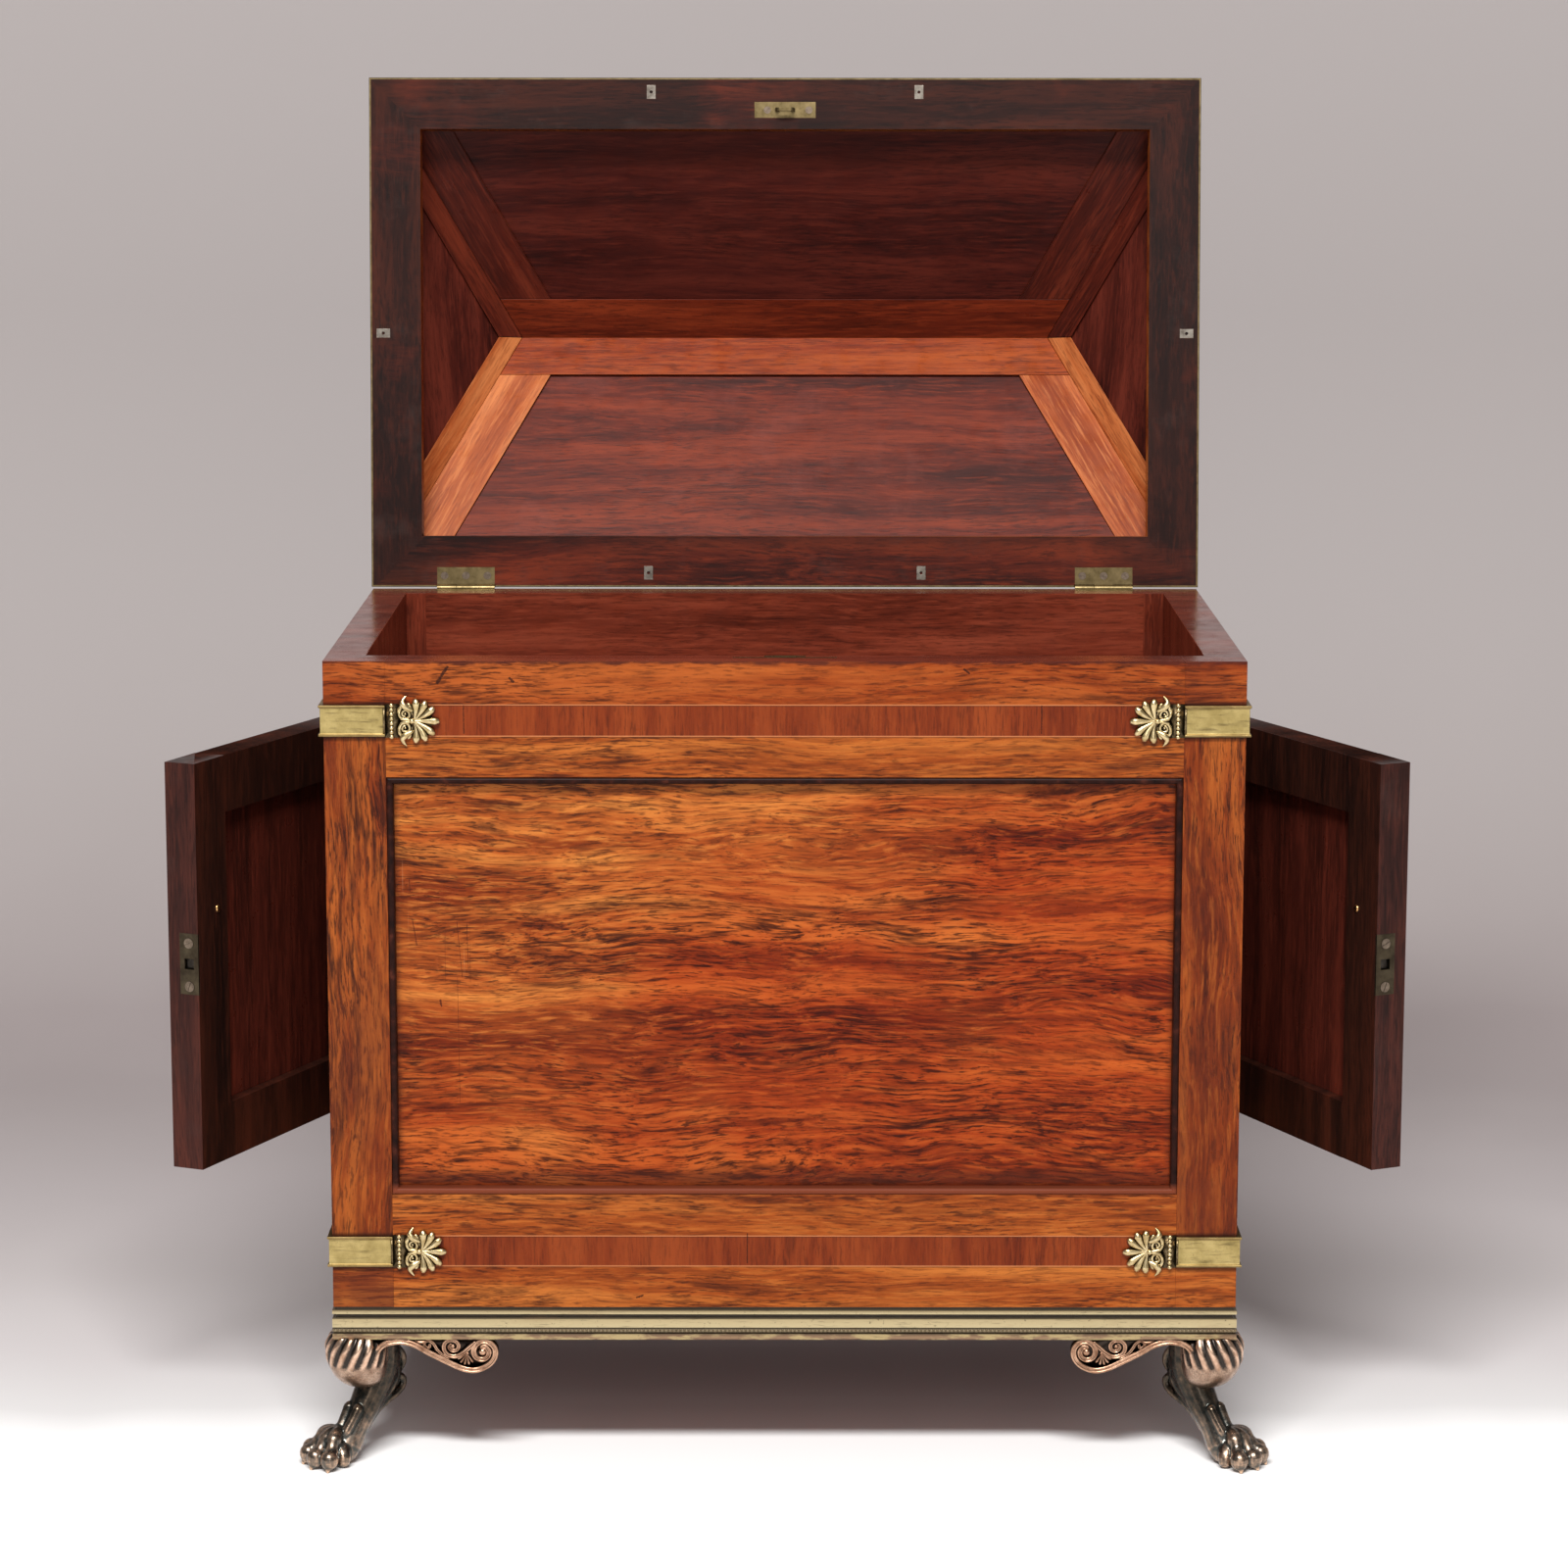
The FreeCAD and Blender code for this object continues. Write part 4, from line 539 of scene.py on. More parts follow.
RIM_TOP_WOOD = plain_wood("rim mahogany", WELL_RED, GRAIN_X, 0.01, 0.3, rough=0.2, gloss=0.7)
DOOR_FRAME = plain_wood("door frame mahogany", DOOR_DARK, GRAIN_Z, figure=0.3, rough=0.35, gloss=0.16)
# Painted reflection, in part: the inner face of each door panel is redder than its frame.
DOOR_PANEL = plain_wood("door panel mahogany", DOOR_RED_AND_PAINTED_REFLECTION, GRAIN_Z, figure=0.2, gloss=0.16)
DOOR_EDGE = plain_wood("door edge mahogany", DOOR_RIM, GRAIN_Z, figure=0.4, rough=0.38, worn=(62, 44, 40))
LID_PANEL = plain_wood("lid panel mahogany", LID_RED, GRAIN_X, 0.03, 0.25, rough=0.36, worn=(124, 62, 52))
# Painted shade: the front slope's panel is a darker copy of the back panel's mahogany.
LID_FRONT_PANEL = plain_wood("lid front panel mahogany", LID_FRONT, GRAIN_X, 0.03, 0.25, rough=0.36)
LID_PANEL_END = plain_wood("lid end panel mahogany", LID_END, GRAIN_Z, 0.02, 0.25, rough=0.36)
BRASS = metal("brass fittings", (140, 122, 86), (98, 84, 56), (46, 38, 26), 0.4, 90)
DULL_BRASS = metal("dull brass plates", (86, 76, 60), (62, 53, 42), (30, 25, 20), 0.42, 90)
MOULDING_BRASS = moulding_brass("moulding brass")
STRAP_BRASS = metal("strap brass", (196, 174, 116), (164, 144, 90), (66, 53, 34), 0.42, 70, False, 3.2, 0.75)
FAN_BRASS = metal("ornament brass", (232, 212, 166), (180, 156, 108), (74, 58, 40), 0.3, 160, True, 1.2)
BRONZE = metal("dark bronze", (224, 182, 152), (148, 108, 84), (54, 46, 41), 0.28, 120, True, 2)
KNEE_BRONZE = metal("knee bronze", (250, 212, 184), (190, 150, 124), (66, 60, 56), 0.28, 120, True, 2)
PAW_BRONZE = cast_bronze("paw bronze", (250, 210, 176), (170, 144, 124), (84, 84, 80), 0.24)
STEEL = metal("dull steel", (150, 142, 132), (104, 96, 88), (40, 34, 30), 0.4, 140)
DARK_STEEL = metal("dark steel", (74, 68, 62), (52, 47, 43), (24, 21, 19), 0.45, 140)
STUD_BRASS = metal("stud brass", (226, 178, 120), (200, 150, 96), (120, 84, 50), 0.25, 200)
SCREW = metal("screw heads", (138, 122, 106), (106, 92, 80), (40, 33, 28), 0.38, 300)


# ---- shapes

def smooth_path(points, steps=6):
    """A rounded curve through tuples of any length, so that a radius can run along with a place."""
    result = []
    last = len(points) - 1
    for index in range(last):
        around = [points[max(index - 1, 0)], points[index], points[index + 1], points[min(index + 2, last)]]
        for step in range(steps):
            t = step / steps
            result.append(tuple(
                0.5 * (2 * b + (c - a) * t + (2 * a - 5 * b + 4 * c - d) * t * t
                       + (3 * b - a - 3 * c + d) * t ** 3) for a, b, c, d in zip(*around)))
    return result + [tuple(points[last])]


class Shape:
    """Points, faces and how bright each point is rubbed."""

    def __init__(self):
        self.points, self.faces, self.rub = [], [], []

    def add(self, points, faces, rub):
        base = len(self.points)
        self.points += [Vector(point) for point in points]
        self.faces += [tuple(base + index for index in face) for face in faces]
        self.rub += rub

    def rings(self, rings, rub, closed_ends=True):
        """A skin over rings of equal length, flat at both ends. rub has a row of values for each ring."""
        count = len(rings[0])
        starts = range(0, len(rings) * count, count)
        steps = [(index, (index + 1) % count) for index in range(count)]
        faces = [(row + index, row + after, row + count + after, row + count + index)
                 for row in starts[:-1] for index, after in steps]
        if closed_ends:
            faces += [tuple(reversed(range(count))), tuple(range(starts[-1], starts[-1] + count))]
        self.add([point for ring in rings for point in ring], faces, [value for row in rub for value in row])

    def plate(self, outline, low, high, rub):
        """A flat plate over an outline in the first two coordinates."""
        self.rings([[(x, y, level) for x, y in outline] for level in (low, high)], [[rub] * len(outline)] * 2)

    def tube(self, path, sides=8, flat=1.0, out=UP, low=0.25):
        """A bar with rounded ends along (x, y, z, radius) points. flat scales it along out, and the side
        that faces out is the bright one."""
        path = [(Vector(point[:3]), point[3]) for point in path]
        last = len(path) - 1
        angles = [2 * math.pi * side / sides for side in range(sides)]
        rings, rub = [], []
        for index, (place, radius) in enumerate(path):
            along = (path[min(index + 1, last)][0] - path[max(index - 1, 0)][0]).normalized()
            across = out.cross(along)
            if across.length < 1e-6:
                across = Vector((1, 0, 0)).cross(along)
            across.normalize()
            up = along.cross(across)
            start = [(-0.95, 0.28), (-0.7, 0.7)] if index == 0 else []
            end = [(0.7, 0.7), (0.95, 0.28)] if index == last else []
            for push, share in start + [(0, 1)] + end:
                middle = place + along * (push * radius)
                rings.append([middle + across * (radius * share * math.cos(angle))
                              + up * (radius * share * flat * math.sin(angle)) for angle in angles])
                rub.append([low + (1 - low) * math.sqrt(max(0.0, math.sin(angle))) for angle in angles])
        self.rings(rings, rub)

    def ball(self, centre, radius, flat=1.0, rub=1.0, sides=10, rows=6):
        """A ball squashed along the third coordinate."""
        centre = Vector(centre)
        rings = []
        for row in range(1, rows):
            height, width = math.cos(math.pi * row / rows), math.sin(math.pi * row / rows)
            rings.append([centre + Vector((radius * width * math.cos(2 * math.pi * side / sides),
                                           radius * width * math.sin(2 * math.pi * side / sides),
                                           radius * flat * height)) for side in range(sides)])
        first = len(self.points)
        self.rings(rings, [[rub] * sides for _ in rings], closed_ends=False)
        last, top = len(self.points) - sides, len(self.points)
        pole = Vector((0, 0, radius * flat))
        self.add([centre + pole, centre - pole], [], [rub] * 2)
        for side in range(sides):
            after = (side + 1) % sides
            self.faces += [(first + after, first + side, top), (last + side, last + after, top + 1)]

    def make(self, name, matrix, material, body, slot, nodes=(), bevel=0.0, melt=0.0, smooth=True):
        """The piece: placed by a millimetre matrix, finished, and riding on its body. melt is the
        grain in millimetres at which overlapping forms run together, as in a casting."""
        matrix = Matrix.Scale(MM, 4) @ matrix
        faces = self.faces if matrix.determinant() > 0 else [tuple(reversed(face)) for face in self.faces]
        mesh = new_mesh(name, [matrix @ point for point in self.points], faces, material, smooth)
        mesh.attributes.new("rub", "FLOAT", "POINT").data.foreach_set("value", self.rub)
        piece = add_object(name, mesh)
        if bevel:
            soften(piece, bevel)
        if melt:
            cast(piece, melt)
        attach(piece, body)
        if nodes:
            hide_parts(*nodes)
        return piece


def soften(piece, width):
    """Small rounded edges on a sharp piece."""
    given(piece.modifiers.new("weld", "WELD"), merge_threshold=0.00001)
    given(piece.modifiers.new("soft edges", "BEVEL"), width=width * MM, segments=2, limit_method="ANGLE",
          angle_limit=math.radians(30), harden_normals=True)


def cast(piece, size):
    """Runs overlapping forms together into one cast skin."""
    given(piece.modifiers.new("one skin", "REMESH"), mode="VOXEL", voxel_size=size * MM,
          use_smooth_shade=True)
    given(piece.modifiers.new("smooth", "SMOOTH"), factor=0.5, iterations=3)


def corner_place(hand, end):
    """Turns (inward from the side face, inward from the front or back face, up) to the row frame."""
    side = HANDS[hand]
    face = FRONT if end == "front" else BACK
    return axes((-side, 0, 0), (0, -ENDS[end], 0), UP, (side * HALF_WIDTH, face, 0))


ON_FACE = axes((1, 0, 0), (0, 0, 1), (0, -1, 0))
ON_SIDE = axes((0, 1, 0), (0, 0, 1), (-1, 0, 0))
TURNS = {"face": ON_FACE, "side": ON_SIDE}


# ---- corner straps

BAND_EDGE = 0.45
LIP_WIDTH = 1.9
FIELD_SUNK = 1.3
BAND_SET_BACK = 1.2
PEARL_PLACE = 54.2
PEARL_PITCH = 3.6
PEARL_RADIUS = 2.05
PEARL_OUT = 2.4
PEARLS = 8
SCROLL_PLACE = 65.0
FAN_ROOT = 72.0


def strap_band():
    """The plain band round a corner: a sunk field between two raised lips."""
    half, proud = BAND_HEIGHT / 2, STRAP_PROUD - BAND_SET_BACK
    sunk = proud - FIELD_SUNK
    profile = [(-half, 0), (-half, proud), (-half + LIP_WIDTH, proud), (-half + LIP_WIDTH + 0.5, sunk),
               (half - LIP_WIDTH - 0.5, sunk), (half - LIP_WIDTH, proud), (half, proud), (half, 0)]
    shape = Shape()
    shape.rings([[(BAND_REACH, -out, level) for level, out in profile],
                 [(-out, -out, level) for level, out in profile],
                 [(-out, BAND_REACH, level) for level, out in profile]], [[1.0] * len(profile)] * 3)
    return shape


def petal(shape, root, angle, length, width, depth, curl=0.0):
    """A long drop that swells to a round tip, like one ray of a palmette."""
    path = [(*round_about(root, length * share, angle + curl * share * share), depth, width * swell)
            for share, swell in ((0.0, 0.22), (0.3, 0.40), (0.6, 0.74), (0.85, 1.0), (0.95, 0.9))]
    shape.tube(smooth_path(path, 3), flat=0.9, low=0.05)


def strap_fan():
    """Pearls, two scrolls with horned leaves, and a palmette of seven rays, in (along, up, out)."""
    shape = Shape()
    half = BAND_HEIGHT / 2
    bed = SCROLL_PLACE - 5

    def block(start, end, half_height, high, rub):
        shape.plate([(start, -half_height), (end, -half_height), (end, half_height), (start, half_height)],
                    0, high, rub)

    block(BAND_REACH - 1.5, BAND_REACH, half, STRAP_PROUD - 2.0, 0.3)
    block(BAND_REACH, bed, half + 1, 1.6, 0.25)
    edge = [(FAN_ROOT + 14.5 * math.cos(math.radians(a)), 13.5 * math.sin(math.radians(a)))
            for a in range(-90, 91, 10)]
    shape.plate([(bed, -half)] + edge + [(bed, half)], 0, 1.0, 0.1)
    for index in range(PEARLS):
        shape.ball((PEARL_PLACE, (index - (PEARLS - 1) / 2) * PEARL_PITCH, PEARL_OUT), PEARL_RADIUS)
    horn = [(5.0, 8.6, 2.0, 1.8), (0.6, 11.0, 2.4, 2.9), (-1.9, 14.0, 2.4, 2.7), (-1.4, 17.0, 2.2, 1.6),
            (0.9, 20.0, 2.0, 0.35)]
    tail = [(-5.0, 6.5, 2.0, 1.3), (-4.1, 10.0, 2.2, 1.7), (-1.9, 13.2, 2.0, 0.9)]
    stem = [(5.0, 0, 2.2, 1.4), (1.5, 0.9, 2.6, 1.5), (-3.0, 1.6, 2.4, 1.1)]
    for side in (-1, 1):
        eye = (SCROLL_PLACE, side * 5.6)
        shape.tube([(*round_about(eye, 4.7 - 0.14 * step, side * (170 + 22.5 * step)), 2.4,
                     1.3 - 0.4 * step / 21) for step in range(21)], low=0.15)
        shape.ball((*eye, 2.0), 1.2, rub=0.6)
        for twig in (horn, tail, stem):
            path = [(SCROLL_PLACE + x, side * y, out, radius) for x, y, out, radius in twig]
            shape.tube(smooth_path(path, 4), low=0.1)
        petal(shape, (FAN_ROOT - 1.5, side * 5.0), side * 97, 9.5, 1.5, 2.0, side * 14)
        for angle, length in ((26, 17.8), (51, 17.0), (77, 16.0)):
            petal(shape, (FAN_ROOT, 0), side * angle, length, 3.25, 2.2, side * 8)
    petal(shape, (FAN_ROOT, 0), 0, 18.6, 3.3, 2.4)
    shape.ball((FAN_ROOT - 1.6, 0, 2.4), 2.4)
    return shape


def make_straps():
    band, fan = strap_band(), strap_fan()
    for kind, level in STRAP_MIDDLE.items():
        for end, hand in CORNERS:
            name = f"{kind}_{end}_{hand}_strap"
            place = corner_place(hand, end) @ Matrix.Translation((0, 0, level))
            node = f"{kind}_corner_straps"
            band.make(name, place, STRAP_BRASS, "case", "ornament_brass", [node], bevel=BAND_EDGE)
            for face, turn in TURNS.items():
                fan.make(f"{name}_fan_on_{face}", place @ turn, FAN_BRASS, "case", "ornament_brass")


# ---- base moulding's pearls

MOULDING_PEARL = 1.75
MOULDING_PITCH = 3.3
PEARL_SHARE = 0.275


def make_moulding_pearls():
    """The row of tiny pearls that runs round the brass base moulding."""
    shape = Shape()
    for half_length, distance, turned in ((HALF_WIDTH, HALF_DEPTH, False), (HALF_DEPTH, HALF_WIDTH, True)):
        count = int(2 * half_length / MOULDING_PITCH)
        for index in range(count):
            along = (index + 0.5) / count * 2 * half_length - half_length
            for out in (-distance, distance):
                shape.ball((-out, along, 0) if turned else (along, out, 0), MOULDING_PEARL, sides=7, rows=4)
    level = PLINTH_FOOT + PEARL_SHARE * (PLINTH_TOP - PLINTH_FOOT)
    shape.make("moulding_pearls", Matrix.Translation((0, MIDDLE_Y, level)), MOULDING_BRASS, "case",
               "ornament_brass")


# ---- feet

HAUNCH_CENTRE = 16
HAUNCH_RIBS = 15
HAUNCH_TWIST = -28
HAUNCH_LEAN = 5
HAUNCH_DEPTH = 46
RIB_HEIGHT = 2.6
HAUNCH_PROFILE = [
    # drop below the moulding, radius, how strongly ribbed
    (-1, 20.4, 1), (2, 22.4, 1), (6, 24.2, 1), (11, 25.2, 1), (16, 25.1, 1), (20, 24.9, 0.95),
    (22.6, 24.6, 0.7), (24.6, 24.2, 0.25), (26.4, 23.8, 0), (29, 23.1, 0), (33, 21.6, 0), (37, 19.4, 0),
    (41, 15.6, 0), (43.8, 10.6, 0), (45.2, 4, 0)]


def haunch():
    """The gadrooned knee: slanting ribs over a smooth cup that leans in under the case."""
    shape = Shape()
    sides = HAUNCH_RIBS * 9
    rings, rub = [], []
    for drop, radius, ribbed in smooth_path(HAUNCH_PROFILE, 3):
        centre = HAUNCH_CENTRE + HAUNCH_LEAN * (max(drop, 0) / HAUNCH_DEPTH) ** 2
        twist = math.radians(HAUNCH_TWIST * drop / 24)
        ring, shade = [], []
        for side in range(sides):
            angle = 2 * math.pi * side / sides + twist
            wave = abs(math.cos(HAUNCH_RIBS * (angle - twist) / 2))
            reach = radius + ribbed * RIB_HEIGHT * (wave - 0.8)
            ring.append((centre + reach * math.cos(angle), centre + reach * math.sin(angle),
                         PLINTH_FOOT - drop))
            shade.append(ribbed * wave ** 3 + (1 - ribbed) * 0.48)
        rings.append(ring)
        rub.append(shade)
    shape.rings(rings, rub)
    return shape


CASTING_GRAIN = 0.8
PAW_FROM_SIDE, PAW_FROM_FRONT = 2, 7
PAW_BEARING = 209
TOE_BEARINGS = (-48, -16, 16, 48)
# Bars on the corner's diagonal: sides of the bar, curve steps, and (distance in, height, radius) points.
LEG_BARS = {
    "shank": (16, 3, [(35, 104, 15), (35, 90, 15.6), (34.5, 76, 15.4), (30, 62, 14.6), (23.5, 47, 13.2),
                      (17.2, 34, 11.6), (12.4, 24, 11.6), (8.6, 15, 12.4)]),
    "tendon": (10, 3, [(40, 66, 9), (31, 50, 8), (24, 36, 7), (18, 24, 6.4), (14.5, 14, 7)]),
    "leaf": (10, 4, [(23, 24, 3), (27, 31, 3.2), (32, 37.5, 3.4), (38.5, 42.5, 3.6), (45, 46.6, 3.8),
                     (49.6, 51.4, 3.8), (50.6, 57, 3.6), (47.4, 61, 3.2), (43.8, 58.4, 2.8)]),
    "curl": (10, 4, [(44, 64, 3.2), (48.6, 67, 3.2), (51, 73, 3.4), (49.6, 79.6, 3.6), (46, 86, 3.4),
                     (43, 94, 3.2)]),
    "web": (10, 3, [(28, 36, 4.4), (34, 46, 5.2), (40, 54, 6), (43, 64, 7), (42, 79, 7.4), (38, 94, 7)]),
}
SHIN = [(9.5, 17.5, 44, 4.4), (5.5, 12.5, 34, 4.2), (2.5, 8.5, 27, 4.4)]
# Toe, claw and pad: (distance ahead, height, radius) points.
TOE = [(2, 24, 7.4), (8, 25.4, 6.2), (13, 23.4, 5.9), (17.6, 17.6, 4.9), (21.6, 12.8, 5.8), (25, 8.6, 6.4)]
CLAW = [(25.5, 5, 4.2), (28.6, 3.2, 2.8), (29.4, 1.8, 1.8)]
PAD = [(6, 17, 6), (12.5, 11, 6.4), (15.5, 6.6, 6)]


def hind_leg():
    """Thigh, hock, paw and the leafy spur behind, as forms that the casting runs together."""
    shape = Shape()
    for sides, steps, bar in LEG_BARS.values():
        path = [(inward, inward, level, radius) for inward, level, radius in bar]
        shape.tube(smooth_path(path, steps), sides=sides, out=Vector((1, -1, 0)).normalized())
    shape.tube(smooth_path(SHIN, 3))
    shape.tube(smooth_path([(y, x, z, radius) for x, y, z, radius in SHIN], 3))
    shape.ball((PAW_FROM_SIDE + 2, PAW_FROM_FRONT + 1, 11.5), 14.6, flat=0.9, sides=16, rows=10)

    def ahead(bearing, distance, level):
        return (*round_about((PAW_FROM_SIDE, PAW_FROM_FRONT), distance, PAW_BEARING + bearing), level)

    def limb(bearing, points, sides):
        path = [(*ahead(bearing, distance, level), radius) for distance, level, radius in points]
        shape.tube(smooth_path(path, 3), sides=sides)

    for bearing in TOE_BEARINGS:
        limb(bearing, TOE, 12)
        shape.ball(ahead(bearing, 12.6, 22.8), 6.8, flat=0.95, sides=12, rows=8)
        shape.ball(ahead(bearing, 24.8, 9.4), 7.6, flat=1.08, sides=14, rows=9)
        limb(bearing, CLAW, 8)
    for bearing in (-80, 80):
        limb(bearing, PAD, 10)
    return shape


def offset_path(points, shift):
    """A flat path moved sideways by shift."""
    moved = []
    for index, point in enumerate(points):
        before, after = points[max(index - 1, 0)], points[min(index + 1, len(points) - 1)]
        along = Vector((after[0] - before[0], after[1] - before[1])).normalized()
        moved.append((point[0] - along.y * shift, point[1] + along.x * shift))
    return moved


def ribbon(shape, points, width, depth, end_width):
    """A scroll band with a raised edge on both sides of a groove."""
    path = smooth_path(points, 5)
    last = len(path) - 1

    def strand(line, level, thickness, **look):
        shape.tube([(x, y, level, (width + (end_width - width) * index / last) * thickness)
                    for index, (x, y) in enumerate(line)], **look)

    for side in (-1, 1):
        strand(offset_path(path, side * width * 0.28), depth, 0.3, low=0.1)
    strand(path, depth - 0.5, 0.42, flat=0.7, low=0.0)


BRACKET_OUTLINE = [
    (31, 0), (32, -15), (37, -8.4), (45, -5), (55, -4.2), (66, -7.6), (77, -13.8), (94, -22.6), (105, -27.4),
    (115, -28.4), (126, -23.6), (132, -15.6), (132.6, -7), (128, -1.5), (121, 0)]
# The bracket's three scrolls, each with its start width, depth and end width.
BRACKET_SCROLLS = [
    ([(31.6, -19), (33, -14.6), (36, -8.6), (40, -5), (46, -3), (55, -2.3), (66, -5.4), (77, -11.7),
      (94, -20.4), (105, -25.2), (115, -26.2), (125, -21.7), (130.2, -14.6), (130, -7.4), (125.4, -3),
      (119.4, -2.2), (114.6, -5.4), (113, -10.8), (115.2, -15.6), (119.8, -17.4), (124.2, -15),
      (125.4, -10.4), (122.8, -7), (119.2, -7.4)], 4.8, -1.0, 2.8),
    ([(114.4, -3.6), (110, -6.8), (104.6, -11.6), (98.4, -14.8), (92.6, -13.6), (89.2, -9.2), (89.4, -4.2),
      (93.2, -1.2), (98, -1.8), (100.8, -5.2), (99.6, -9), (95.8, -10), (93.2, -7.2), (94.8, -4.8)],
     3.4, -1.2, 1.8),
    ([(93, -16), (87.6, -13.4), (83.4, -8.8), (80.4, -4), (76.4, -1.6), (73.2, -3.4), (73.8, -6.8),
      (77, -7.4), (77.6, -4.8)], 2.4, -1.3, 1.3)]


def bracket():
    """The scroll bracket beside the knee, in (along, up from the moulding's foot, out)."""
    shape = Shape()
    shape.plate(smooth_path(BRACKET_OUTLINE, 4), -10, -2.6, 0.0)
    for scroll in BRACKET_SCROLLS:
        ribbon(shape, *scroll)
    shape.ball((120.2, -10.8, -1.2), 3.2, flat=0.8)
    shape.ball((96.2, -6.2, -1.4), 1.8, flat=0.8)
    shape.tube(smooth_path([(74, -2.2, -1.4, 0.9), (70, -3, -1.4, 1.4), (65.4, -1.4, -1.4, 0.4)], 4), low=0.1)
    for angle, length in ((-150, 8.4), (-126, 8.8), (-103, 9), (-80, 8.8), (-56, 8.2)):
        petal(shape, (107.6, -12.6), angle, length, 1.15, -1.4)
    shape.ball((108, -12.2, -1.4), 1.4)
    return shape


def make_feet():
    knee, leg, scroll = haunch(), hind_leg(), bracket()
    level = Matrix.Translation((0, 0, PLINTH_FOOT))
    for end, hand in CORNERS:
        name = f"{end}_{hand}_foot"
        place = corner_place(hand, end)
        knee.make(f"{name}_haunch", place, KNEE_BRONZE, "case", "bronze", [name])
        leg.make(f"{name}_leg_and_paw", place, PAW_BRONZE, "case", "bronze", melt=CASTING_GRAIN)
        for face, turn in TURNS.items():
            scroll.make(f"{name}_bracket_on_{face}", place @ level @ turn, BRONZE, "case", "bronze")


# ---- materials on the CAD nodes

def dress(node, material, bevel=0.0, rules=()):
    """Gives a CAD node its material, soft edges, and other materials where a rule says so."""
    piece = frame["nodes"][node]
    mesh = piece.data
    mesh.materials.clear()
    mesh.materials.append(material)
    if "custom_normal" in mesh.attributes:
        mesh.attributes.remove(mesh.attributes["custom_normal"])
    for test, other in rules:
        mesh.materials.append(other)
        for polygon in mesh.polygons:
            if test(polygon.center / MM, polygon.normal):
                polygon.material_index = len(mesh.materials) - 1
    mesh.polygons.foreach_set("use_smooth", [True] * len(mesh.polygons))
    if bevel:
        soften(piece, bevel)


def is_top(centre, normal):
    return normal.z > 0.7 and centre.z > RIM_TOP - 0.5


def is_side(centre, normal):
    return abs(normal.x) > 0.7


def is_inside(centre, normal):
    """Faces of the case's walls that look into the well or the cupboards."""
    inward_x = abs(centre.x) < HALF_WIDTH - 20 and normal.x * centre.x < 0 and abs(normal.x) > 0.7
    inward_y = abs(centre.y - MIDDLE_Y) < HALF_DEPTH - 20 and normal.y * (centre.y - MIDDLE_Y) < 0
    return inward_x or (inward_y and abs(normal.y) > 0.7)


def faces_mouth(centre, normal):
    """Faces of the lid that look down into the case when it is shut."""
    return normal.dot(LID_TO_REST.to_3x3() @ -UP) > 0.2


# Nodes of one material, with their material and bevel.
PLAIN_NODES = [
    (WELL, 0.5, ("well_floor", "cupboard_floor", "cupboard_partition", "plinth_board")),
    (EBONY, 0, ("front_panel_bead", "back_panel_bead", "left_door_bead", "right_door_bead")),
    (LID_PANEL, 0, ("lid_front_frame", "lid_back_frame", "lid_left_frame", "lid_right_frame")),
    (MOULDING_BRASS, 0, ("base_moulding",)),
    (BRASS, 0, ("left_door_hinge_leaves", "right_door_hinge_leaves", "door_hinge_case_leaves",
                "door_hinge_pins", "lid_hinge_leaves", "lid_hinge_case_leaves", "lid_hinge_pins",
                "lid_edge_strip", "lid_lock", "door_strikes")),
    (BRASS, 0.25, ("lid_link_plate",)),
    (DULL_BRASS, 0.25, ("left_door_lock", "right_door_lock")),
    (STEEL, 0.2, ("lid_clips",)),
    (STEEL, 0.3, ("lid_bolt",)),
    (DARK_STEEL, 0.4, ("left_door_bolt", "right_door_bolt"))]


def dress_case():
    inside, inside_up, top = (is_inside, WELL), (is_inside, WELL_UP), (is_top, RIM_TOP_WOOD)
    for end in ENDS:
        dress(f"{end}_top_rail", TOP_RAIL["x"], 0.3, [inside, top])
        dress(f"{end}_bottom_rail", BOTTOM_RAIL["x"], 0.3, [inside])
        dress(f"{end}_panel", FIGURED, 0.4, [inside])
    for end, hand in CORNERS:
        dress(f"{end}_{hand}_post", VENEER_POST, 0.3, [(is_side, VENEER_POST_SIDE), inside_up, top])
    for hand in HANDS:
        dress(f"{hand}_top_rail", TOP_RAIL["y"], 0.8, [inside_up, top])
        dress(f"{hand}_bottom_rail", BOTTOM_RAIL["y"], 0.8, [inside])


def dress_doors():
    """Dark mahogany inside and on the free edges, the case's veneer outside."""
    for hand, side in HANDS.items():
        turn = door_to_rest(hand).to_3x3()

        def faces_out(centre, normal):
            return (turn.inverted() @ normal).x * side > 0.7

        def free_edge(centre, normal):
            return (turn.inverted() @ normal).y < -0.7

        across = grain_turn(turn @ Vector((0, 1, 0)))
        frame_veneer = plain_wood(f"{hand} door frame veneer", VENEER, GRAIN_Z, 0.03, 0.7)
        panel_veneer = plain_wood(f"{hand} door panel veneer", PANEL_VENEER, across, 0.075, 1.0)
        dress(f"{hand}_door_frame", DOOR_FRAME, 0.6, [(faces_out, frame_veneer), (free_edge, DOOR_EDGE)])
        dress(f"{hand}_door_panel", DOOR_PANEL, 0.3, [(faces_out, panel_veneer)])


def dress_lid():
    dress("lid_rim", VENEER_FLAT, 0.4, [(faces_mouth, LID_RIM)])
    for place in (*ENDS, *HANDS):
        inner = {"front": LID_FRONT_PANEL, "back": LID_PANEL}.get(place, LID_PANEL_END)
        dress(f"lid_{place}_panel", LID_VENEER, 0.3, [(faces_mouth, inner)])


# ---- the lid's boards

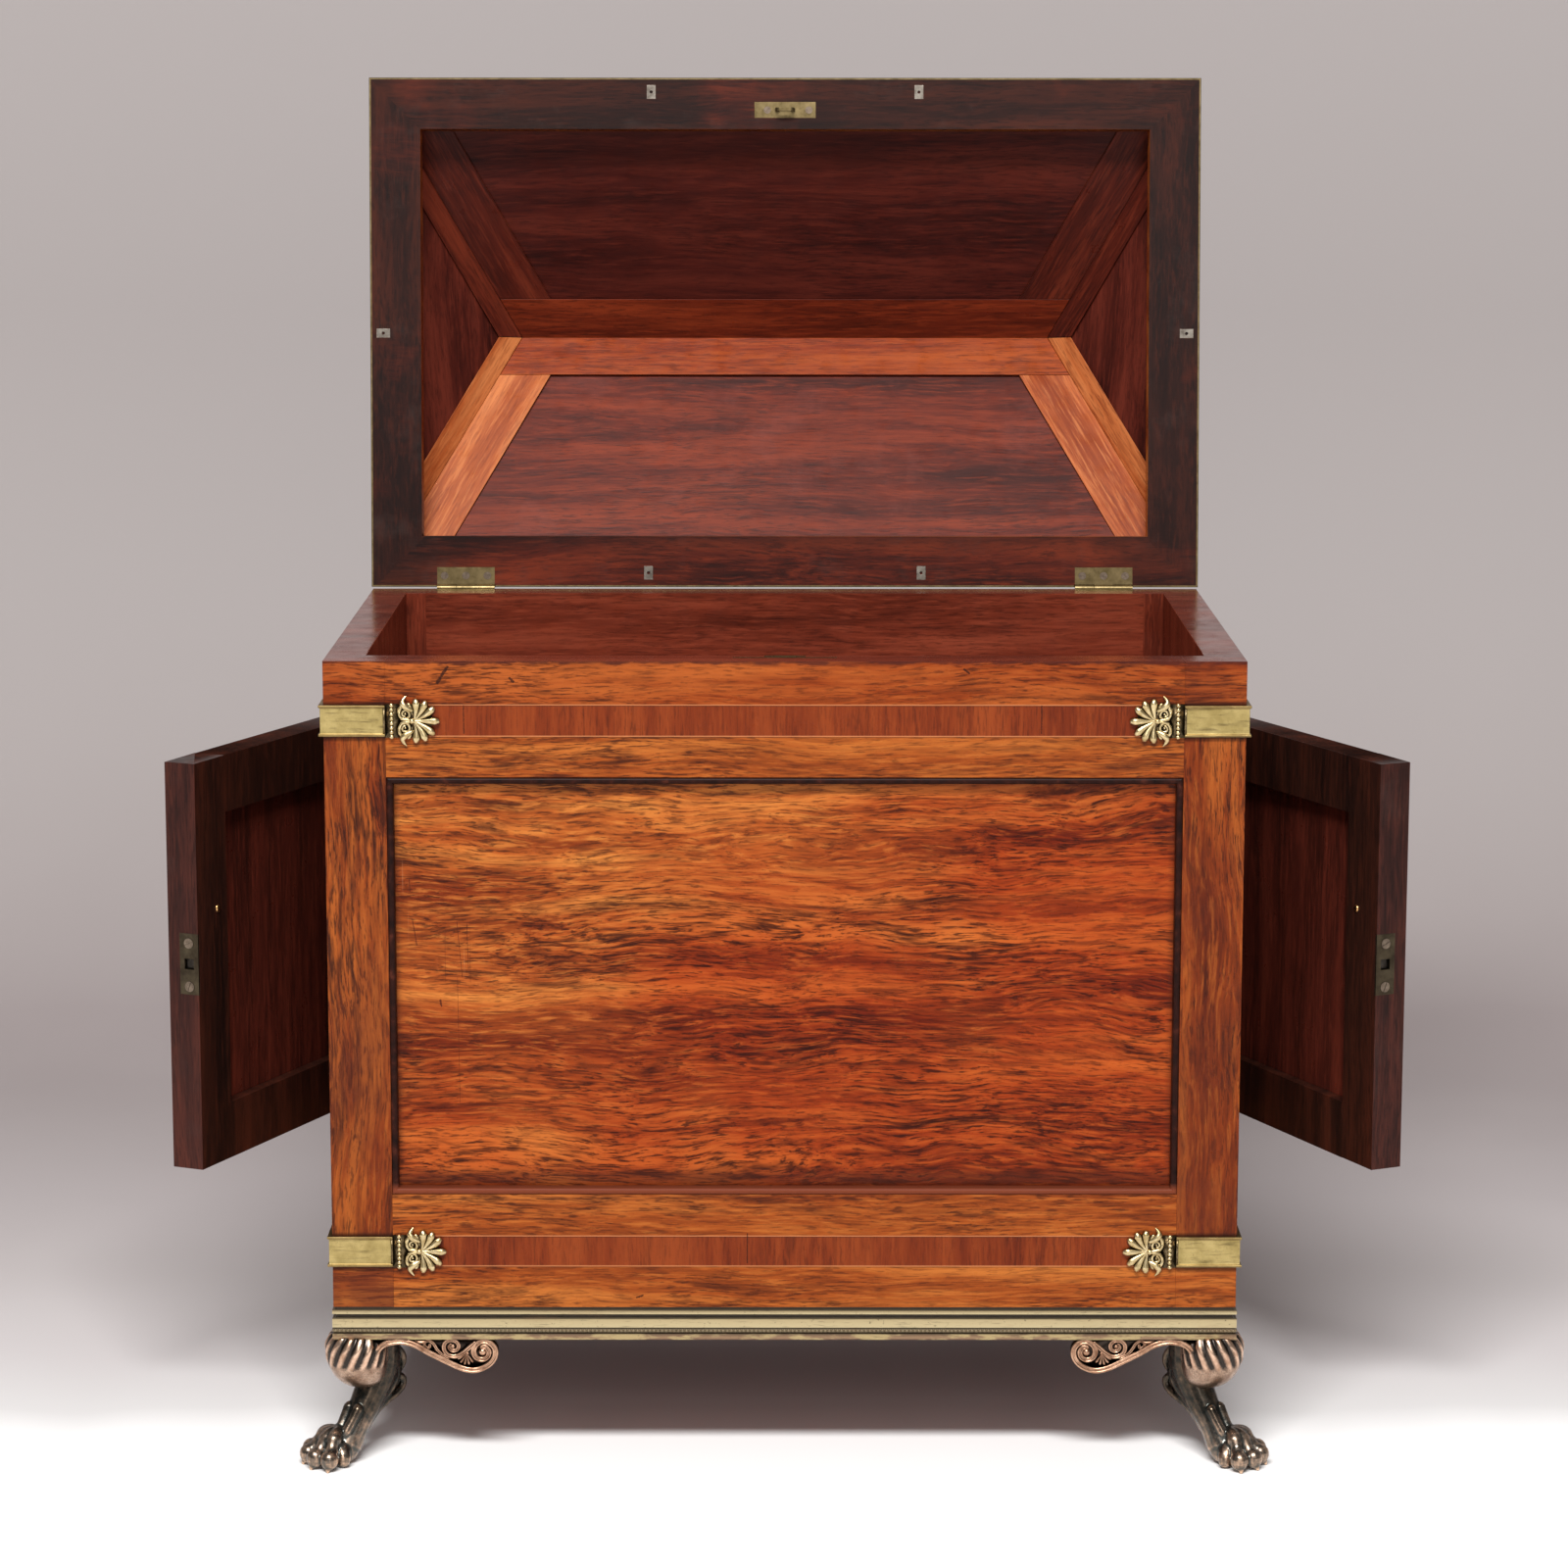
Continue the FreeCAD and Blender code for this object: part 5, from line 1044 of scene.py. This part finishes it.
LID_X = limit("lid_rim", HIGH, X)
LID_Y = HALF_DEPTH + LID_X - HALF_WIDTH
RIDGE_HALF = -limit("lid_left_frame", HIGH, X)
LID_CROWN = closed_box("lid_front_frame", LID_TO_REST)[HIGH].z
RIM_LOW, RIM_HIGH = (corner.z for corner in closed_box("lid_rim", LID_TO_REST))
LID_SHELL = 24
LID_RISE = LID_CROWN - RIM_LOW - LID_SHELL
HIP_RUN = LID_X - RIDGE_HALF
RIDGE_RAIL = 34
FOOT_RAIL = 40
LONG_STILE = 46
END_STILE = 20
END_FOOT_RAIL = FOOT_RAIL * HIP_RUN / LID_Y
BOARD_JOINT = 0.25
# The front slope's stiles and ridge rail take the darker copies of their wood as painted shade, and the back
# slope's take the lighter copies as painted light.
HIP_WOOD = {"front": HIP_WOOD_PAINTED_SHADE, "back": HIP_WOOD_PAINTED_LIGHT}
RIDGE_WOOD = {"front": RIDGE_WOOD_PAINTED_SHADE, "back": RIDGE_WOOD_PAINTED_LIGHT}


def roof_level(x, y):
    """Height of the roof's underside over a plan place that is measured from the lid's middle."""
    return RIM_LOW + LID_RISE * min((LID_Y - abs(y)) / LID_Y, (LID_X - abs(x)) / HIP_RUN)


def hip_x(y):
    return LID_X - HIP_RUN + HIP_RUN * y / LID_Y


def hip_y(x):
    return LID_Y * (x - RIDGE_HALF) / HIP_RUN


def board(name, corners, inner, node):
    """One board of the roof over a plan outline, dark underneath and veneered on top."""
    middle = sum((Vector(corner) for corner in corners), Vector((0, 0))) / len(corners)
    low, high = [], []
    for place in map(Vector, corners):
        place += (middle - place).normalized() * BOARD_JOINT
        level = roof_level(*place)
        low.append((place.x, MIDDLE_Y + place.y, max(level, RIM_HIGH)))
        high.append((place.x, MIDDLE_Y + place.y, level + LID_SHELL))
    shape = Shape()
    shape.rings([low, high], [[1.0] * len(corners)] * 2)
    piece = shape.make(name, LID_TO_REST, inner, "lid", "lid_mahogany", [node])
    face_outwards(piece)
    piece.data.materials.append(VENEER_FLAT)
    for polygon in piece.data.polygons:
        if polygon.normal.dot(LID_TO_REST.to_3x3() @ UP) > 0.5:
            polygon.material_index = 1
    soften(piece, 0.5)


def face_outwards(piece):
    """Turns every face of a closed piece outwards."""
    working = bmesh.new()
    working.from_mesh(piece.data)
    bmesh.ops.recalc_face_normals(working, faces=working.faces)
    working.to_mesh(piece.data)
    working.free()


def grain_turn(direction):
    """Euler angles that bring a direction in the row frame onto the grain's own X axis."""
    along = Vector(direction).normalized()
    across = along.cross(Vector((0, 1, 0)))
    if across.length < 0.1:
        across = along.cross(UP)
    across.normalize()
    return tuple(Matrix((along, across, along.cross(across))).to_euler("XYZ"))


def hip_wood(name, side, end, figure=0.3, shift=0.0):
    """Wood with its grain along a hip, from the ridge's end to the lid's corner."""
    hip = Vector((HANDS[side] * HIP_RUN, ENDS[end] * LID_Y, -LID_RISE))
    return plain_wood(name, HIP_WOOD[end], grain_turn(LID_TO_REST.to_3x3() @ hip), 0.012, figure, shift=shift)


def make_long_boards():
    """Ridge rail, foot rail and two hip stiles of the lid's front and back slopes."""
    foot = LID_Y - FOOT_RAIL
    ridge, low = hip_x(RIDGE_RAIL), hip_x(foot)
    rails = {"ridge_rail": [(-hip_x(0), 0), (hip_x(0), 0), (ridge, RIDGE_RAIL), (-ridge, RIDGE_RAIL)],
             "foot_rail": [(-low, foot), (low, foot), (LID_X, LID_Y), (-LID_X, LID_Y)]}
    stile = [(ridge, RIDGE_RAIL), (low, foot), (low - LONG_STILE, foot), (ridge - LONG_STILE, RIDGE_RAIL)]
    for place, end in ENDS.items():
        node = f"lid_{place}_frame"
        flat = plain_wood(f"lid {place} rail", RIDGE_WOOD[place], GRAIN_X, 0.012, 0.25, shift=end * 0.3)
        for label, outline in rails.items():
            board(f"lid_{place}_{label}", [(x, end * y) for x, y in outline], flat, node)
        for hand, side in HANDS.items():
            hip = hip_wood(f"lid {place} {hand} stile", hand, place, shift=side * 0.2)
            board(f"lid_{place}_{hand}_stile", [(side * x, end * y) for x, y in stile], hip, node)


def make_end_boards():
    """Foot rail and two hip stiles of the lid's hipped ends."""
    foot = LID_X - END_FOOT_RAIL
    rail = [(foot, -hip_y(foot)), (LID_X, -LID_Y), (LID_X, LID_Y), (foot, hip_y(foot))]
    stile = [(RIDGE_HALF, 0), (foot, hip_y(foot)), (foot, hip_y(foot - END_STILE)),
             (RIDGE_HALF + END_STILE, 0)]
    for place, side in HANDS.items():
        node = f"lid_{place}_frame"
        board(f"lid_{place}_foot_rail", [(side * x, y) for x, y in rail], LID_PANEL_END, node)
        for label, end in ENDS.items():
            hip = hip_wood(f"lid {place} {label} end stile", place, label, shift=end * 0.5)
            board(f"lid_{place}_{label}_stile", [(side * x, end * y) for x, y in stile], hip, node)


# ---- screws and studs

def screw(shape, centre, radius, slot_angle, proud=0.45, slot=0.35):
    """A countersunk head in the plane of the first two coordinates: two halves with a slot between."""
    start = math.degrees(math.asin(slot / radius))
    for half in (0, 180):
        arc = [round_about(centre, radius, slot_angle + half + start + (180 - 2 * start) * step / 8)
               for step in range(9)]
        shape.plate(arc, centre[Z] - 0.4, centre[Z] + proud, 1.0)
    rim = [round_about(centre, radius, degrees) for degrees in range(0, 360, 30)]
    shape.plate(rim, centre[Z] - 0.5, centre[Z] + 0.08, 0.0)


LOCK_PLATE_WIDTH = 17.5
LOCK_HOLE_BELOW_TOP = 24.8
LOCK_SCREWS = {16.7: 25, -19.4: 70}
LOCK_SCREW_RADIUS = 4.3
STUD_LEVEL = 442
STUD_INSET = 32
STUD_RADIUS = 3.3


def make_door_fittings():
    """Screws in the door locks' plates and the small brass stud on each door's inner face."""
    for hand, side in HANDS.items():
        shut = door_to_rest(hand)
        low, high = closed_box(f"{hand}_door_lock", shut)
        inner_face = low.x if side > 0 else high.x
        middle = inner_face + side * LOCK_PLATE_WIDTH / 2
        plate = shut @ Matrix.Translation((middle, low.y, high.z - LOCK_HOLE_BELOW_TOP)) @ ON_FACE
        screws = Shape()
        for level, slot_angle in LOCK_SCREWS.items():
            screw(screws, (0, level, 0), LOCK_SCREW_RADIUS, slot_angle)
        screws.make(f"{hand}_door_lock_screws", plate, SCREW, f"{hand}_door", "steel", smooth=False)
        stud = Shape()
        stud.ball((0, 0, 0), STUD_RADIUS, flat=0.6, sides=14, rows=8)
        face = axes((0, 1, 0), UP, (-side, 0, 0), (inner_face, low.y + STUD_INSET, STUD_LEVEL))
        stud.make(f"{hand}_door_stud", shut @ face, STUD_BRASS, f"{hand}_door", "brass")


LEAF_MIDDLE = 25.5
LEAF_SCREW_INSET = 7.5
LEAF_SCREW_RADIUS = 3.4
LINK_SCREW_RADIUS = 3.2
# Places of the screws along their plates, with the angles of their slots.
HINGE_SCREWS = {-19: 20, 0: 70, 19: 120}
LINK_SCREWS = {-15.6: 40, 21.0: 105}


def make_lid_fittings():
    """Screws in the lid's hinge leaves and link plate, seen from inside the open lid."""
    underneath = LID_TO_REST @ axes((1, 0, 0), (0, -1, 0), (0, 0, -1), (0, 0, RIM_LOW))
    low, high = closed_box("lid_hinge_leaves", LID_TO_REST)
    shape = Shape()
    for side in (-1, 1):
        for along, slot_angle in HINGE_SCREWS.items():
            centre = (side * (high.x - LEAF_MIDDLE) + along, -(low.y + LEAF_SCREW_INSET), 0)
            screw(shape, centre, LEAF_SCREW_RADIUS, slot_angle, proud=0.25)
    shape.make("lid_hinge_screws", underneath, SCREW, "lid", "steel", smooth=False)
    low, high = closed_box("lid_link_plate", LID_TO_REST)
    shape = Shape()
    for along, slot_angle in LINK_SCREWS.items():
        screw(shape, (along, -(low.y + high.y) / 2, 0), LINK_SCREW_RADIUS, slot_angle, proud=0.25)
    shape.make("lid_link_plate_screws", underneath, SCREW, "lid", "steel", smooth=False)


# ---- stage, light and camera

CAMERA_PLACE = (-0.0010, -3.7679, 1.1690)
CAMERA_PITCH = 9.884
CAMERA_ROLL = -0.033
CAMERA_LENS = 102.31
SENSOR = 36.0


def make_camera():
    data = given(bpy.data.cameras.new("camera"), sensor_width=SENSOR, lens=CAMERA_LENS)
    turn = (math.radians(90 - CAMERA_PITCH), math.radians(CAMERA_ROLL), 0)
    bpy.context.scene.camera = add_object("camera", data, location=CAMERA_PLACE, rotation_euler=turn)


def make_lamp(name, place, target, size, power, colour):
    lamp = given(bpy.data.lights.new(name, "AREA"), shape="RECTANGLE", size=size[0], size_y=size[1],
                 energy=power, color=colour)
    turn = (Vector(target) - Vector(place)).to_track_quat("-Z", "Y").to_euler()
    add_object(name, lamp, location=place, rotation_euler=turn)


def make_world():
    """Weak even light, which the camera sees as a paler grey past the edge of the paper."""
    world = bpy.data.worlds.new("studio")
    world.use_nodes = True
    bpy.context.scene.world = world
    nodes, links = world.node_tree.nodes, world.node_tree.links
    light = nodes["Background"]
    light.inputs["Color"].default_value = (1.0, 0.985, 0.975, 1.0)
    light.inputs["Strength"].default_value = 0.17
    seen = nodes.new("ShaderNodeBackground")
    seen.inputs["Color"].default_value = (0.5, 0.465, 0.46, 1.0)
    mixed = nodes.new("ShaderNodeMixShader")
    links.new(nodes.new("ShaderNodeLightPath").outputs["Is Camera Ray"], mixed.inputs["Fac"])
    links.new(light.outputs["Background"], mixed.inputs[1])
    links.new(seen.outputs["Background"], mixed.inputs[2])
    links.new(mixed.outputs["Shader"], nodes["World Output"].inputs["Surface"])


# Half width, ends, bend and height of the floor and backdrop, in metres.
SWEEP_HALF = 7.0
FLOOR_NEAR = -7.0
FLOOR_FAR = 1.0
SWEEP_RADIUS = 0.8
WALL_TOP = 5.0
SWEEP_STEPS = 24
# How far back along the floor, as a share of its graded part, and the red, green and blue there: painted
# light whitens the floor near the front, and painted shade darkens it most where it bends up into the wall.
FLOOR_PAINTED_LIGHT_AND_SHADE = [
    (0.0, (0.98, 0.98, 0.98)), (0.082, (0.96, 0.96, 0.96)), (0.11, (0.74, 0.73, 0.73)),
    (0.175, (0.635, 0.605, 0.61)), (0.28, (0.53, 0.495, 0.495)), (0.395, (0.44, 0.402, 0.405)),
    (0.53, (0.385, 0.345, 0.345)), (0.68, (0.35, 0.305, 0.305)), (0.85, (0.40, 0.358, 0.352)),
    (1.0, (0.455, 0.412, 0.405))]


def sweep_material():
    """Pale paper, white near the camera and grey far away: painted light near the front and painted shade
    where the floor bends up into the wall. It is clear from behind and from below, so that views from there
    show the object."""
    graph = Graph("pale paper")
    near = graph.axis("Y") + graph.noise((4, 0, 0)).fade(0.3, 0.7, 0.02, -0.02)
    colour = near.fade(-0.4, 2.0).ramp(*((place, (*grey, 1)) for place, grey in FLOOR_PAINTED_LIGHT_AND_SHADE))
    colour = colour.toward((1, 1, 1, 1), graph.noise(3).fade(0.3, 0.7, 0.03))
    colour = colour.toward((0.43, 0.395, 0.39, 1), graph.axis("Z").fade(0.0, 0.5))
    return graph.finish(colour, 0.9, clear_behind=True, Specular_IOR_Level=0.0)


def make_sweep():
    wall = FLOOR_FAR + SWEEP_RADIUS
    profile = [(FLOOR_NEAR, 0.0), (FLOOR_FAR, 0.0)]
    for step in range(1, SWEEP_STEPS + 1):
        angle = math.pi / 2 * step / SWEEP_STEPS
        profile.append((FLOOR_FAR + SWEEP_RADIUS * math.sin(angle), SWEEP_RADIUS * (1 - math.cos(angle))))
    profile.append((wall, WALL_TOP))
    points = [(side * SWEEP_HALF, y, z) for y, z in profile for side in (-1, 1)]
    faces = [(2 * row, 2 * row + 1, 2 * row + 3, 2 * row + 2) for row in range(len(profile) - 1)]
    mesh = new_mesh("floor_and_backdrop", points, faces, sweep_material())
    add_object("floor_and_backdrop", mesh)


def make_stage():
    bpy.context.scene.view_settings.view_transform = "Standard"
    make_camera()
    make_world()
    make_lamp("key", (-0.45, -4.75, 5.75), (0, -0.2, 0.35), (3.8, 0.9), 620, (1.0, 0.99, 0.98))
    make_lamp("front", (0.4, -4.6, 1.9), (0, 0, 0.4), (3.0, 1.4), 26, (1.0, 0.985, 0.975))
    make_sweep()


make_stage()
for material, bevel, nodes in PLAIN_NODES:
    for node in nodes:
        dress(node, material, bevel)
dress_case()
dress_doors()
dress_lid()
make_long_boards()
make_end_boards()
make_straps()
make_moulding_pearls()
make_feet()
make_door_fittings()
make_lid_fittings()
